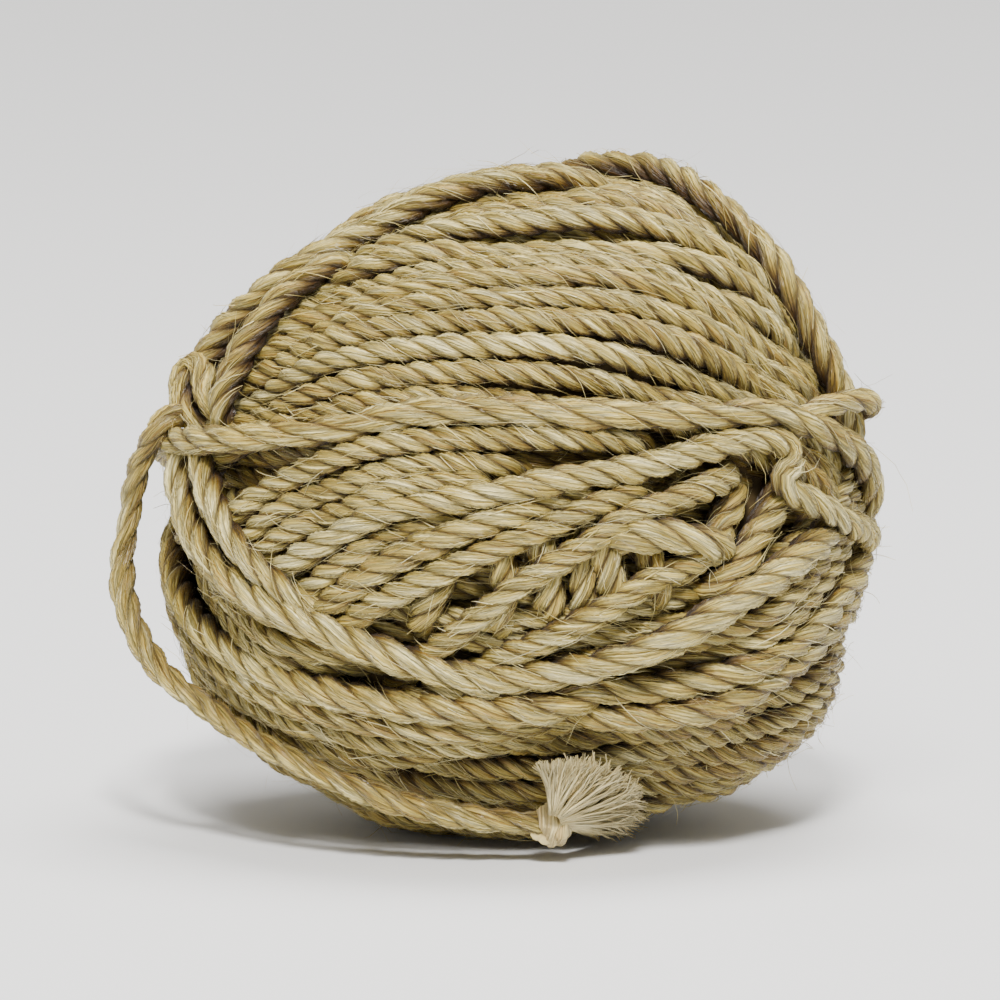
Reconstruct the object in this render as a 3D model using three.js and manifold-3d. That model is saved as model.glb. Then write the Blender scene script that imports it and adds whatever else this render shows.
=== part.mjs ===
// A ball of three-strand sisal string, with one loose end that is knotted and frayed.
// Millimetres, +Z up. The origin is on the surface that the ball rests on, under its middle.
//
// The ball is laid out in a winding frame: x to the right, y up and z towards a person who looks
// at its front, slightly from above. The last lines stand that frame up on the surface.

import * as THREE from "three";
import { mergeVertices } from "three/addons/utils/BufferGeometryUtils.js";
import Module from "manifold-3d";

const wasm = await Module();
wasm.setup();

// Sizes
const PITCH = 5.1; // from one turn of a band to the next
const GROOVE = 1.7; // how far the grooves between turns lie under their crests
const DEPTH_RADIUS = 62; // half of the ball's depth, front to back
const TURN_RADIUS = 60; // mean radius of the turns, for angles across a band
const ROOT = 14; // how far in a band's hidden underside lies
const CORE_SUNK = 5; // the packed inner turns lie this far in,
const HOLLOW_SUNK = 11; // and this far in the open hollow at the front,
const HOLLOW = { x: 0.05, y: -0.1, z: 1, wide: 52 }; // its direction, and degrees to its rim
const VIEW_TILT = 8; // degrees that the winding frame leans back
const CENTRE = { x: -0.1, y: 0.6, z: 59.6 }; // of the winding frame, above the origin
const BAND_STATIONS = 26; // cross-sections round a band
const RUN_SIDES = 6; // of a single run's tube
const RUN_STEP = 8; // between its cross-sections
const LOOSE_SIDES = 9; // three points for each strand
const LOOSE_STEP = 1.7;
const SLIVER = 0.15; // smaller steps than this are smoothed away
const MERGED = 1e-3; // points this close are one

// Half-width of the ball seen from its front, every 22.5 degrees from the right, anticlockwise.
const OUTLINE = [
  63, 60.8, 63.6, 65.2, 61.2, 60, 61, 64.4, 65.8, 67.4, 67.2, 64.6, 62.2, 61, 66.6, 64,
];

// Bands of parallel turns round the whole ball. tilt: degrees that the band's front stands above
// the ball's middle; roll: degrees that its right side stands higher; gather: how much closer the
// turns lie at the sides; front, side, back: how far in the crests lie there.
const BANDS = [
  { name: "crown", tilt: 76, roll: 2, turns: 9, gather: 0.2, front: 1.6, side: 7, back: 1.6 },
  { name: "middle", tilt: -7, roll: 6, turns: 9, gather: 0.2, front: 7, side: 4.8, back: 0.4 },
  { name: "dome", tilt: 37, roll: -3, turns: 9, gather: 0.25, front: 0.8, side: 2.6, back: 1 },
  { name: "belt", tilt: -49, roll: 4, turns: 9, gather: 0.3, front: 0.2, side: 0.4, back: 0.2 },
];

// Single runs that cross the bands. route: x, y and lift, how far the cord's middle stands over
// the ball's outline form; a fourth number is z, where the front doesn't show the point.
const RUNS = [
  {
    name: "cross", thick: 5.2,
    route: [
      [-48, 3, 0, -31], [-57.5, 6, 0, -25], [-64.5, 8.5, 0, -8], [-60, 10.5, 0.2],
      [-49.5, 11, 0.4], [-36, 12.5, 0],
      [-22.5, 15, -1.2], [-4.5, 15.8, -1.8], [13.5, 15, -1.8], [31.5, 14, -0.8], [44, 14, 0.2],
      [55, 11, 1.2], [60.8, 8.5, 1.8], [64, 3, 0, 4], [61.8, -3, 0, -6],
      [55, -7, 0, -23], [46, -9, 0, -29],
    ],
  },
  {
    name: "upper_fan", thick: 5,
    route: [[-51, -3, -6], [-45, 2, -3.4], [-31.5, 8, -2.6], [-20, 10.5, -2.4], [3, 11, -2.6],
      [15, 10.5, -3.4], [26, 9, -6]],
  },
  {
    name: "second_fan", thick: 5,
    route: [[-50, -8, -6], [-43, -1.5, -3.4], [-31.5, 3, -2.8], [-20, 6.2, -2.6], [-7, 6.2, -3.2],
      [4, 5.5, -6]],
  },
  {
    name: "third_fan", thick: 5,
    route: [[-49, -12, -6], [-42, -6, -3.6], [-31.5, -1.5, -2.8], [-22, 2, -2.8], [-12, 3, -3.6],
      [-2, 3.5, -6]],
  },
  {
    name: "bright", thick: 5.4,
    route: [[-44, -13, -6], [-36, -8, -3.4], [-24, -2, -2.4], [-8.5, 0.6, -1.6], [8, 3.8, -1.2],
      [20, 5.6, -1], [30, 8.4, -0.6], [42, 10, -0.2], [47.8, 8.6, 0.2], [48.8, 4.6, -0.4],
      [51, 0, -0.6], [56, -3.4, 0], [60.5, -5.6, 0.6], [64, -7, 0, 3], [61, -9, 0, -10],
      [53, -11, 0, -18]],
  },
  {
    name: "thick_fan", thick: 5.6,
    route: [[-38, -21, -6], [-31.5, -16, -3], [-22, -10, -2], [-12, -5.8, -1.8], [-1.5, -2.2, -2],
      [9, 0.2, -3.2], [18, 2, -6]],
  },
  {
    name: "fourth_fan", thick: 5,
    route: [[-37, -28, -6], [-29, -20, -3.2], [-20, -15, -2.4], [-9, -10, -2.2], [3, -5, -2.4],
      [14, -0.4, -3], [25, 2.6, -6]],
  },
  {
    name: "fifth_fan", thick: 5.2,
    route: [[-25, -36, -6], [-17, -27.5, -3.4], [-8.5, -20.5, -2.4], [-1.5, -15, -1.8],
      [9, -8.8, -1.6], [18, -3, -1.8], [28, 0.8, -2.4], [40, 6, -5]],
  },
  {
    name: "sixth_fan", thick: 5,
    route: [[-16, -37, -6], [-7, -29.8, -3.6], [4, -24.4, -2.6], [13, -19.4, -2.4],
      [21, -14.4, -2.6], [30, -10.5, -3.8], [38, -8, -6]],
  },
  {
    name: "bight", thick: 6.2,
    route: [[10, -9.5, -5.5], [17, -6.4, -2], [24, -6.2, -1], [31, -7.2, -1.6], [35, -8.4, -5],
      [33, -9, -9]],
  },
  {
    name: "steep_left", thick: 5,
    route: [[43, 9, -7], [41, 2, -4.6], [39, -5.5, -4.4], [34, -13, -6.5]],
  },
  {
    name: "steep_right", thick: 5,
    route: [[52, 3, -6], [48, -2.5, -4], [43.5, -8, -4], [37.5, -15, -6]],
  },
  {
    name: "left_descent", thick: 6,
    route: [[-58, 14, -3], [-61.5, 6, -1], [-61, -1, -0.8], [-57, -10, -0.8], [-47, -18.5, -0.8],
      [-35, -23, -0.8], [-24, -28.2, -0.4], [-8, -32.6, -0.2], [10, -30.2, -0.2], [26, -24, -0.4],
      [40.5, -15.2, -0.8], [50, -8.6, -1.6], [55, -4, -4]],
  },
  {
    name: "second_descent", thick: 5.2,
    route: [[-55, 12, -4], [-55.6, 5, -1.6], [-53, -3, -1.2], [-47.5, -11, -1], [-40, -19, -1.8],
      [-32, -27, -3.5]],
  },
  {
    name: "shoulder", thick: 6,
    route: [[-3, 53, 0, -14], [8, 57, 0, -12], [21, 60, 0, -7], [32, 57, 0, -3], [42, 49, 0, -2],
      [50, 38, 0, -2], [54.5, 28, 0, -3], [58.5, 20.5, 0, -3], [61.5, 17.5, 0, -6], [60.5, 12, 0, -12],
      [53, 7, 0, -19]],
  },
  {
    name: "left_bight", thick: 4.4,
    route: [[-57, 10, 0, 10], [-60.4, 15, 0, 8], [-60.6, 21, 0, 7], [-58, 24.6, 0, 5],
      [-55.6, 21.6, 0, 8], [-54, 14, 0, 14]],
  },
];

// The loose end's middle line, in the same way; z is given where it hangs beside the ball.
const LOOSE_END = {
  thick: 4.6, lobe: 0.26, lay: 17,
  route: [
    [-65.9, 12.9, 0, 18.6], [-67.4, 9.6, 0, 15], [-69, 6.2, 0, 13], [-70, 2.4, 0, 11.4],
    [-70.6, -1.4, 0, 10.4], [-71.3, -5.6, 0, 10], [-72, -9.4, 0, 10], [-72.2, -13, 0, 10.4],
    [-71.8, -17, 0, 11], [-70.7, -20.8, 0, 12], [-69.2, -24.2, 0, 13.6], [-67, -28, 0, 15.6],
    [-64, -31.4, 0, 18.2], [-60.6, -34.2, 0, 21], [-56.6, -37, 3.8], [-52, -40.2, 3.4],
    [-47.4, -43, 3.2], [-42.4, -45.6, 3.1], [-37, -48.2, 3.1], [-31.4, -50.6, 3.1],
    [-25.2, -52.8, 3.1], [-18.8, -54.6, 3.2], [-11.6, -56, 3.2], [-5, -56.8, 3.3], [0.3, -57.2, 3.7],
  ],
};

// The overhand knot on the loose end, and the locks of strand that fan out of it.
const KNOT = { x: 4.6, y: -57.2, lift: 4, radius: 3.9, wrap: 1.3 };
const TUFT = {
  locks: 30, layers: 2, first: 94, last: -20, longest: 0.1, long: 16.6, short: 10.6,
  thick: 0.8, fill: 0.66, lift: 0.9, layerStep: 1.3,
  ridges: 16, ridge: 0.5, rooted: 0.66, rootThick: 2.6,
};

const radians = THREE.MathUtils.degToRad;
const vec = (x, y, z) => new THREE.Vector3(x, y, z);

// The ball's half-width at an angle in the front view, smooth between the table's values.
function outlineRadius(angle) {
  const count = OUTLINE.length;
  const place = ((angle / (2 * Math.PI)) * count + 2 * count) % count;
  const index = Math.floor(place);
  const t = place - index;
  const [a, b, c, d] = [-1, 0, 1, 2].map((step) => OUTLINE[(index + step + count) % count]);
  return b + 0.5 * t * (c - a + t * (2 * a - 5 * b + 4 * c - d + t * (3 * (b - c) + d - a)));
}

// Distance from the middle to the ball's outer form in a direction of length 1.
function formRadius(direction) {
  const across = Math.hypot(direction.x, direction.y) / outlineRadius(Math.atan2(direction.y, direction.x));
  return 1 / Math.hypot(across, direction.z / DEPTH_RADIUS);
}

// A route's point: on the front, lift over the form, or where z is given, just there.
function place([x, y, lift, z]) {
  if (z !== undefined) return vec(x, y, z);
  const share = Math.hypot(x, y) / (outlineRadius(Math.atan2(y, x)) + lift);
  return vec(x, y, (DEPTH_RADIUS + lift) * Math.sqrt(Math.max(0, 1 - share * share)));
}

// A closed surface through rings of points. A ring of rings closes on itself; else it has caps.
function skin(rings, closed) {
  const count = rings[0].length;
  const points = rings.flat();
  const faces = [];
  const spans = closed ? rings.length : rings.length - 1;
  for (let i = 0; i < spans; i++) {
    const here = i * count;
    const next = ((i + 1) % rings.length) * count;
    for (let j = 0; j < count; j++) {
      const k = (j + 1) % count;
      faces.push(here + j, here + k, next + k, here + j, next + k, next + j);
    }
  }
  if (!closed) {
    for (const [index, turn] of [[0, 1], [rings.length - 1, 0]]) {
      const middle = rings[index].reduce((sum, p) => sum.add(p), vec(0, 0, 0));
      points.push(middle.divideScalar(count));
      for (let j = 0; j < count; j++) {
        const edge = [index * count + j, index * count + ((j + 1) % count)];
        faces.push(points.length - 1, edge[turn], edge[1 - turn]);
      }
    }
  }
  const geometry = new THREE.BufferGeometry().setFromPoints(points);
  geometry.setIndex(faces);
  return geometry;
}

// A three.js geometry as a solid that can be joined and cut.
function solidFrom(geometry) {
  const bare = geometry.clone();
  bare.deleteAttribute("normal");
  bare.deleteAttribute("uv");
  const merged = mergeVertices(bare, MERGED);
  return new wasm.Manifold(
    new wasm.Mesh({
      numProp: 3,
      vertProperties: new Float32Array(merged.attributes.position.array),
      triVerts: new Uint32Array(merged.index.array),
    }),
  );
}

// The geometry of a solid's largest body, with slivers and sealed pockets left out.
function outerGeometry(solid) {
  const largest = (bodies) => bodies.reduce((a, b) => (b.volume() > a.volume() ? b : a));
  const outer = largest(solid.simplify(SLIVER).decompose());
  const merged = solidFrom(geometryOf(outer));
  return geometryOf(largest(merged.decompose()));
}

function geometryOf(solid) {
  const mesh = solid.getMesh();
  const geometry = new THREE.BufferGeometry();
  const positions = new Float32Array(mesh.numVert * 3);
  for (let i = 0; i < mesh.numVert; i++) {
    positions.set(mesh.vertProperties.subarray(i * mesh.numProp, i * mesh.numProp + 3), i * 3);
  }
  geometry.setAttribute("position", new THREE.BufferAttribute(positions, 3));
  geometry.setIndex(new THREE.BufferAttribute(mesh.triVerts, 1));
  geometry.computeVertexNormals();
  return geometry;
}

// The packed inside of the ball.
function coreGeometry() {
  const geometry = new THREE.IcosahedronGeometry(1, 6);
  const position = geometry.getAttribute("position");
  const hollow = vec(HOLLOW.x, HOLLOW.y, HOLLOW.z).normalize();
  const point = new THREE.Vector3();
  for (let i = 0; i < position.count; i++) {
    point.fromBufferAttribute(position, i).normalize();
    const off = THREE.MathUtils.radToDeg(point.angleTo(hollow)) / HOLLOW.wide;
    const share = THREE.MathUtils.smoothstep(off, 0.75, 1);
    point.multiplyScalar(formRadius(point) - THREE.MathUtils.lerp(HOLLOW_SUNK, CORE_SUNK, share));
    position.setXYZ(i, point.x, point.y, point.z);
  }
  return geometry;
}

// Half of a band's section: where each column of points lies across it, and how far in.
function bandSection(turns) {
  const half = (turns * PITCH) / 2;
  const section = [{ across: -half, drop: GROOVE * 1.8 }];
  for (let turn = 0; turn < turns; turn++) {
    const start = -half + turn * PITCH;
    const last = turn === turns - 1;
    section.push({ across: start + PITCH / 2, drop: 0 });
    section.push({ across: start + PITCH, drop: last ? GROOVE * 1.8 : GROOVE });
  }
  section.push({ across: half, drop: ROOT }, { across: -half, drop: ROOT });
  return section.reverse(); // so that the faces point out
}

// One band of parallel turns, a closed ring round the ball.
function bandGeometry(band) {
  const facing = vec(0, Math.sin(radians(band.tilt)), Math.cos(radians(band.tilt)));
  const right = vec(Math.cos(radians(band.roll)), Math.sin(radians(band.roll)), 0);
  right.addScaledVector(facing, -right.dot(facing)).normalize();
  const up = facing.clone().cross(right);
  const section = bandSection(band.turns);
  const rings = [];
  for (let station = 0; station < BAND_STATIONS; station++) {
    const angle = (2 * Math.PI * station) / BAND_STATIONS;
    const ahead = Math.cos(angle);
    const aside = Math.sin(angle);
    const sunk =
      (ahead > 0 ? band.front : band.back) * ahead * ahead + band.side * aside * aside;
    const narrow = 1 - band.gather * aside * aside;
    rings.push(
      section.map(({ across, drop }) => {
        const off = (across * narrow) / TURN_RADIUS;
        const direction = facing.clone().multiplyScalar(Math.cos(off) * ahead);
        direction.addScaledVector(right, Math.cos(off) * aside);
        direction.addScaledVector(up, Math.sin(off));
        return direction.multiplyScalar(formRadius(direction) - sunk - drop);
      }),
    );
  }
  return skin(rings, true);
}

// A tube along a route. Where lobe isn't 0, its section has three strands that turn with the lay.
function cordGeometry({ route, thick, lobe = 0, lay = 0 }, sides, step) {
  const curve = new THREE.CatmullRomCurve3(route.map(place), false, "centripetal");
  const length = curve.getLength();
  const steps = Math.round(length / step);
  const frames = curve.computeFrenetFrames(steps, false);
  const rings = [];
  for (let i = 0; i <= steps; i++) {
    const middle = curve.getPointAt(i / steps);
    const twist = lay ? (2 * Math.PI * length * i) / steps / lay : 0;
    const ring = [];
    for (let side = 0; side < sides; side++) {
      const angle = (2 * Math.PI * side) / sides;
      const radius = (thick / 2) * (1 - lobe * (0.5 - 0.5 * Math.cos(3 * angle)));
      const point = middle.clone();
      point.addScaledVector(frames.normals[i], radius * Math.cos(angle + twist));
      point.addScaledVector(frames.binormals[i], radius * Math.sin(angle + twist));
      ring.push(point);
    }
    rings.push(ring);
  }
  return skin(rings, false);
}

// The winding frame's place above the surface.
const standing = new THREE.Matrix4()
  .makeTranslation(CENTRE.x, CENTRE.y, CENTRE.z)
  .multiply(new THREE.Matrix4().makeRotationX(radians(90 - VIEW_TILT)));

// The ball: its packed inside, the bands and the single runs, cut flat where it rests.
function ball() {
  const wound = [coreGeometry(), ...BANDS.map(bandGeometry)];
  for (const run of RUNS) wound.push(cordGeometry(run, RUN_SIDES, RUN_STEP));
  const stood = wound.map((geometry) => solidFrom(geometry.applyMatrix4(standing)));
  const slab = new THREE.BoxGeometry(300, 300, 60).translate(0, 0, -30);
  const cut = wasm.Manifold.union(stood).subtract(solidFrom(slab));
  return outerGeometry(cut);
}

// The loose end, a plain length of three-strand string.
function looseEnd() {
  return cordGeometry(LOOSE_END, LOOSE_SIDES, LOOSE_STEP).applyMatrix4(standing);
}

// The knot with its wraps, and the frayed locks with their roots in it.
function endKnot() {
  const heart = place([KNOT.x, KNOT.y, KNOT.lift]);
  const lump = new THREE.SphereGeometry(KNOT.radius, 14, 8);
  const pieces = [lump];
  for (const turn of [-0.5, 0.6]) {
    const wrap = new THREE.TorusGeometry(KNOT.radius - 0.5, KNOT.wrap, 6, 14);
    pieces.push(wrap.rotateX(radians(78)).rotateZ(radians(70 + turn * 40)).translate(turn, 0, 0));
  }
  const outward = heart.clone().normalize();
  for (const piece of pieces) {
    piece.applyQuaternion(new THREE.Quaternion().setFromUnitVectors(vec(0, 0, 1), outward));
    piece.translate(heart.x, heart.y, heart.z);
  }
  pieces.push(tuftRootGeometry());
  for (let lock = 0; lock < TUFT.locks; lock++) pieces.push(lockGeometry(lock));
  const stood = pieces.map((piece) => solidFrom(piece.applyMatrix4(standing)));
  return outerGeometry(wasm.Manifold.union(stood));
}

// How far the tuft reaches from the knot at an angle.
function tuftReach(angle) {
  const towards = Math.cos(angle - TUFT.longest) ** 2;
  const low = Math.max(0, TUFT.longest - angle);
  return (TUFT.short + (TUFT.long - TUFT.short) * towards) * (1 - 2 * low * low);
}

// A point of the tuft: its angle round the knot, distance from it, and lift over the ball.
function tuftPoint(angle, away, lift) {
  return place([KNOT.x + away * Math.cos(angle), KNOT.y + away * Math.sin(angle), lift]);
}

// The tuft's solid root, a ridged fan between the knot and the locks.
function tuftRootGeometry() {
  const rings = [];
  for (let ridge = 0; ridge <= TUFT.ridges; ridge++) {
    const angle = radians(TUFT.last + ((TUFT.first - TUFT.last) * ridge) / TUFT.ridges);
    const out = tuftReach(angle) * TUFT.rooted;
    const raised = ridge % 2 ? TUFT.ridge : 0;
    rings.push([
      tuftPoint(angle, 1.5, TUFT.lift),
      tuftPoint(angle, 1.5, TUFT.lift + TUFT.rootThick + 1.6 + raised),
      tuftPoint(angle, out, TUFT.lift + TUFT.rootThick + raised),
      tuftPoint(angle, out, TUFT.lift),
    ]);
  }
  return skin(rings, false);
}

// One lock: a flat three-sided taper out of the fan's edge.
function lockGeometry(lock) {
  const layer = lock % TUFT.layers;
  const spread = radians(TUFT.last - TUFT.first) * 0.94;
  const angle = radians(TUFT.first - 3) + (spread * lock) / (TUFT.locks - 1);
  const spacing = (Math.abs(spread) * TUFT.layers) / (TUFT.locks - 1);
  const start = tuftReach(angle) * TUFT.rooted - 1.8;
  const long = tuftReach(angle) * (0.95 + 0.05 * Math.cos(lock * 2.4)) - layer;
  const side = vec(-Math.sin(angle), Math.cos(angle), 0);
  const rings = [0, 0.5, 1].map((t) => {
    const away = start + (long - start) * t;
    const middle = tuftPoint(angle, away, TUFT.lift + 0.35 + layer * TUFT.layerStep);
    const outward = middle.clone().normalize();
    const wide = away * spacing * TUFT.fill * (1 - 0.3 * t);
    return [
      middle.clone().addScaledVector(side, -wide / 2),
      middle.clone().addScaledVector(side, wide / 2),
      middle.clone().addScaledVector(outward, TUFT.thick * (1 - 0.3 * t)),
    ];
  });
  return skin(rings, false);
}

const sisal = new THREE.MeshStandardMaterial({ color: 0xbba77c, roughness: 0.9, metalness: 0 });
const paleSisal = new THREE.MeshStandardMaterial({ color: 0xd9ccab, roughness: 0.92, metalness: 0 });

const part = new THREE.Group();
for (const [name, geometry, material] of [
  ["ball", ball(), sisal],
  ["loose_end", looseEnd(), sisal],
  ["end_knot", endKnot(), paleSisal],
]) {
  const mesh = new THREE.Mesh(geometry, material);
  mesh.name = name;
  part.add(mesh);
}

export default part;
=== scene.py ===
"""A ball of thick three-strand sisal string, with a loose end that is knotted and frayed.

The ball is laid out in a winding frame: x to the right, y up and z towards a person who looks at
its front. Turn after turn is laid on what already lies there, so that each crosses over the last.
"""

import logging
import math
from dataclasses import dataclass, field
from enum import Enum

import bpy
import numpy as np
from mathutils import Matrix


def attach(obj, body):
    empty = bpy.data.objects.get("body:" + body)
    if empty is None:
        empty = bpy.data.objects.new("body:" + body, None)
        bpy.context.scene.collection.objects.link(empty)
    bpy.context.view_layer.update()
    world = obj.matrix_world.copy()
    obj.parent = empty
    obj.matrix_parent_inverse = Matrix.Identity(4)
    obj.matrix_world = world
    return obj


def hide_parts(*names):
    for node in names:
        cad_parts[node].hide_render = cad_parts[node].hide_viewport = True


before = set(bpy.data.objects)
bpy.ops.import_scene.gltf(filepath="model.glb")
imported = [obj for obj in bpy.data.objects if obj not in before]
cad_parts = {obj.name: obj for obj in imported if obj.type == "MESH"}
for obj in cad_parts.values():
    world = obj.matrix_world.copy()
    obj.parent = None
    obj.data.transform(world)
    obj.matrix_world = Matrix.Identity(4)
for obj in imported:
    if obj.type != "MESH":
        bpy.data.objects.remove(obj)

LOG = logging.getLogger("ball_of_string")
MM = 0.001
MEAN_RADIUS_MM = 62
TINY = 1e-12
FULL_TURN = 2 * math.pi
STRING_SLOT, FRAYED_SLOT = "string", "frayed"


def smoothstep(low: float, high: float, value: np.ndarray) -> np.ndarray:
    """Rises smoothly from 0 at low to 1 at high.

    Args:
        low: where the rise starts.
        high: where it ends.
        value: the numbers to look up.

    Returns:
        The smoothed share for each number.
    """
    share = np.clip((value - low) / (high - low), 0.0, 1.0)
    return share * share * (3.0 - 2.0 * share)


def unit(vectors: np.ndarray) -> np.ndarray:
    """The vectors at length 1."""
    return vectors / np.maximum(np.linalg.norm(vectors, axis=-1, keepdims=True), TINY)


def net(count: int) -> np.ndarray:
    """Directions spread evenly over a sphere."""
    index = np.arange(count) + 0.5
    polar = np.arccos(1 - 2 * index / count)
    around = math.pi * (1 + 5**0.5) * index
    return np.stack(
        [np.cos(around) * np.sin(polar), np.sin(around) * np.sin(polar), np.cos(polar)], axis=1
    )


def smooth_line(points: np.ndarray, step: float, cuts: int = 24) -> np.ndarray:
    """A Catmull-Rom line through the points, evenly spaced.

    Args:
        points: the points to pass through, in order.
        step: the spacing of the result.
        cuts: how many places are worked out between two points.

    Returns:
        Points along the line, from the first point to the last.
    """
    padded = np.vstack([2 * points[0] - points[1], points, 2 * points[-1] - points[-2]])
    knots = np.concatenate([[0.0], np.cumsum(np.linalg.norm(np.diff(padded, axis=0), axis=1) ** 0.5)])
    pieces = []
    for i in range(1, len(padded) - 2):
        t0, t1, t2, t3 = knots[i - 1 : i + 3]
        p0, p1, p2, p3 = padded[i - 1 : i + 3]
        t = np.linspace(t1, t2, cuts, endpoint=i == len(padded) - 3)[:, None]
        a1 = (t1 - t) / (t1 - t0) * p0 + (t - t0) / (t1 - t0) * p1
        a2 = (t2 - t) / (t2 - t1) * p1 + (t - t1) / (t2 - t1) * p2
        a3 = (t3 - t) / (t3 - t2) * p2 + (t - t2) / (t3 - t2) * p3
        b1 = (t2 - t) / (t2 - t0) * a1 + (t - t0) / (t2 - t0) * a2
        b2 = (t3 - t) / (t3 - t1) * a2 + (t - t1) / (t3 - t1) * a3
        pieces.append((t2 - t) / (t2 - t1) * b1 + (t - t1) / (t2 - t1) * b2)
    return evenly(np.vstack(pieces), step)


def evenly(line: np.ndarray, step: float) -> np.ndarray:
    """The same open line with its points evenly spaced."""
    fewest = 4
    along = np.concatenate([[0.0], np.cumsum(np.linalg.norm(np.diff(line, axis=0), axis=1))])
    count = max(fewest, int(round(along[-1] / step)) + 1)
    places = np.linspace(0.0, along[-1], count)
    return np.stack([np.interp(places, along, line[:, axis]) for axis in range(3)], axis=1)


@dataclass(frozen=True)
class WindingFrame:
    """The frame that the ball is wound in, and the ball's outer form.

    The outline holds the ball's half-width, seen from its front, at even angles from the right.
    """

    tilt: float = math.radians(8)
    centre: tuple[float, float, float] = (-0.0001, 0.0006, 0.0596)
    depth_radius: float = MEAN_RADIUS_MM * MM
    outline_mm: tuple[float, ...] = (
        63, 60.8, 63.6, 65.2, 61.2, 60, 61, 64.4, 65.8, 67.4, 67.2, 64.6, 62.2, 61, 66.6, 64,
    )

    def outline_radius(self, angle: np.ndarray) -> np.ndarray:
        """The ball's half-width at angles in the front view."""
        table = np.array(self.outline_mm) * MM
        place = (angle / FULL_TURN * len(table)) % len(table)
        index = np.floor(place).astype(int)
        t = place - index
        a, b, c, d = (table[(index + step) % len(table)] for step in (-1, 0, 1, 2))
        return b + 0.5 * t * (c - a + t * (2 * a - 5 * b + 4 * c - d + t * (3 * (b - c) + d - a)))

    def form_radius(self, directions: np.ndarray) -> np.ndarray:
        """Distance from the middle to the outer form in each direction."""
        outline = self.outline_radius(np.arctan2(directions[:, 1], directions[:, 0]))
        across = np.hypot(directions[:, 0], directions[:, 1]) / outline
        return 1.0 / np.hypot(across, directions[:, 2] / self.depth_radius)

    def place(self, x: float, y: float, lift: float, z: float | None = None) -> np.ndarray:
        """A route's point: on the front, lift over the form, or where z is given, just there.

        Args:
            x: millimetres to the right.
            y: millimetres up.
            lift: millimetres over the form.
            z: millimetres towards the front, for points that the front doesn't show.

        Returns:
            The point in metres, in the winding frame.
        """
        if z is not None:
            return np.array([x, y, z]) * MM
        edge = float(self.outline_radius(np.array([math.atan2(y, x)]))[0]) + lift * MM
        share = math.hypot(x, y) * MM / edge
        depth = (self.depth_radius + lift * MM) * math.sqrt(max(0.0, 1 - share * share))
        return np.array([x * MM, y * MM, depth])

    def to_world(self, points: np.ndarray) -> np.ndarray:
        """Points of the winding frame in the part's own frame."""
        sine, cosine = math.sin(self.tilt), math.cos(self.tilt)
        turn = np.array([[1, 0, 0], [0, sine, -cosine], [0, cosine, sine]])
        return points @ turn.T + np.array(self.centre)


class Lie(Enum):
    """How a run gets its height."""

    HEAPED = "on top of what is already there"
    PROUD = "at least as far out as its route says"


@dataclass(frozen=True)
class Band:
    """Parallel turns round the whole ball.

    tilt: degrees that the band's front stands above the middle; roll: degrees that its right side
    stands higher; lay: length of one turn of the strands; side_sunk: how deep the turns' middle
    lies at the ball's sides, where the bands cross; shift: how far the whole band lies up its own
    axis; tone: the range of the turns' colours; special: turns that differ, each as its number
    from the top, thickness, lay and tone.
    """

    name: str
    tilt: float
    roll: float
    turns: int = 9
    pitch: float = 5.1 * MM
    thick: float = 5.0 * MM
    lay: float = 17 * MM
    gather: float = 0.12
    wander: float = 0.7 * MM
    side_sunk: float = 2.5 * MM
    shift: float = 0.0
    tone: tuple[float, float] = (0.2, 0.8)
    special: tuple[tuple[int, float, float, float], ...] = ()


@dataclass(frozen=True)
class Run:
    """One run that crosses the bands. Its route's rows are x, y, lift and, where hidden, z, in mm."""

    name: str
    route: tuple[tuple[float, ...], ...]
    thick: float = 5.0 * MM
    lay: float = 13.5 * MM
    lie: Lie = Lie.HEAPED
    tone: float = 0.5


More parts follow.
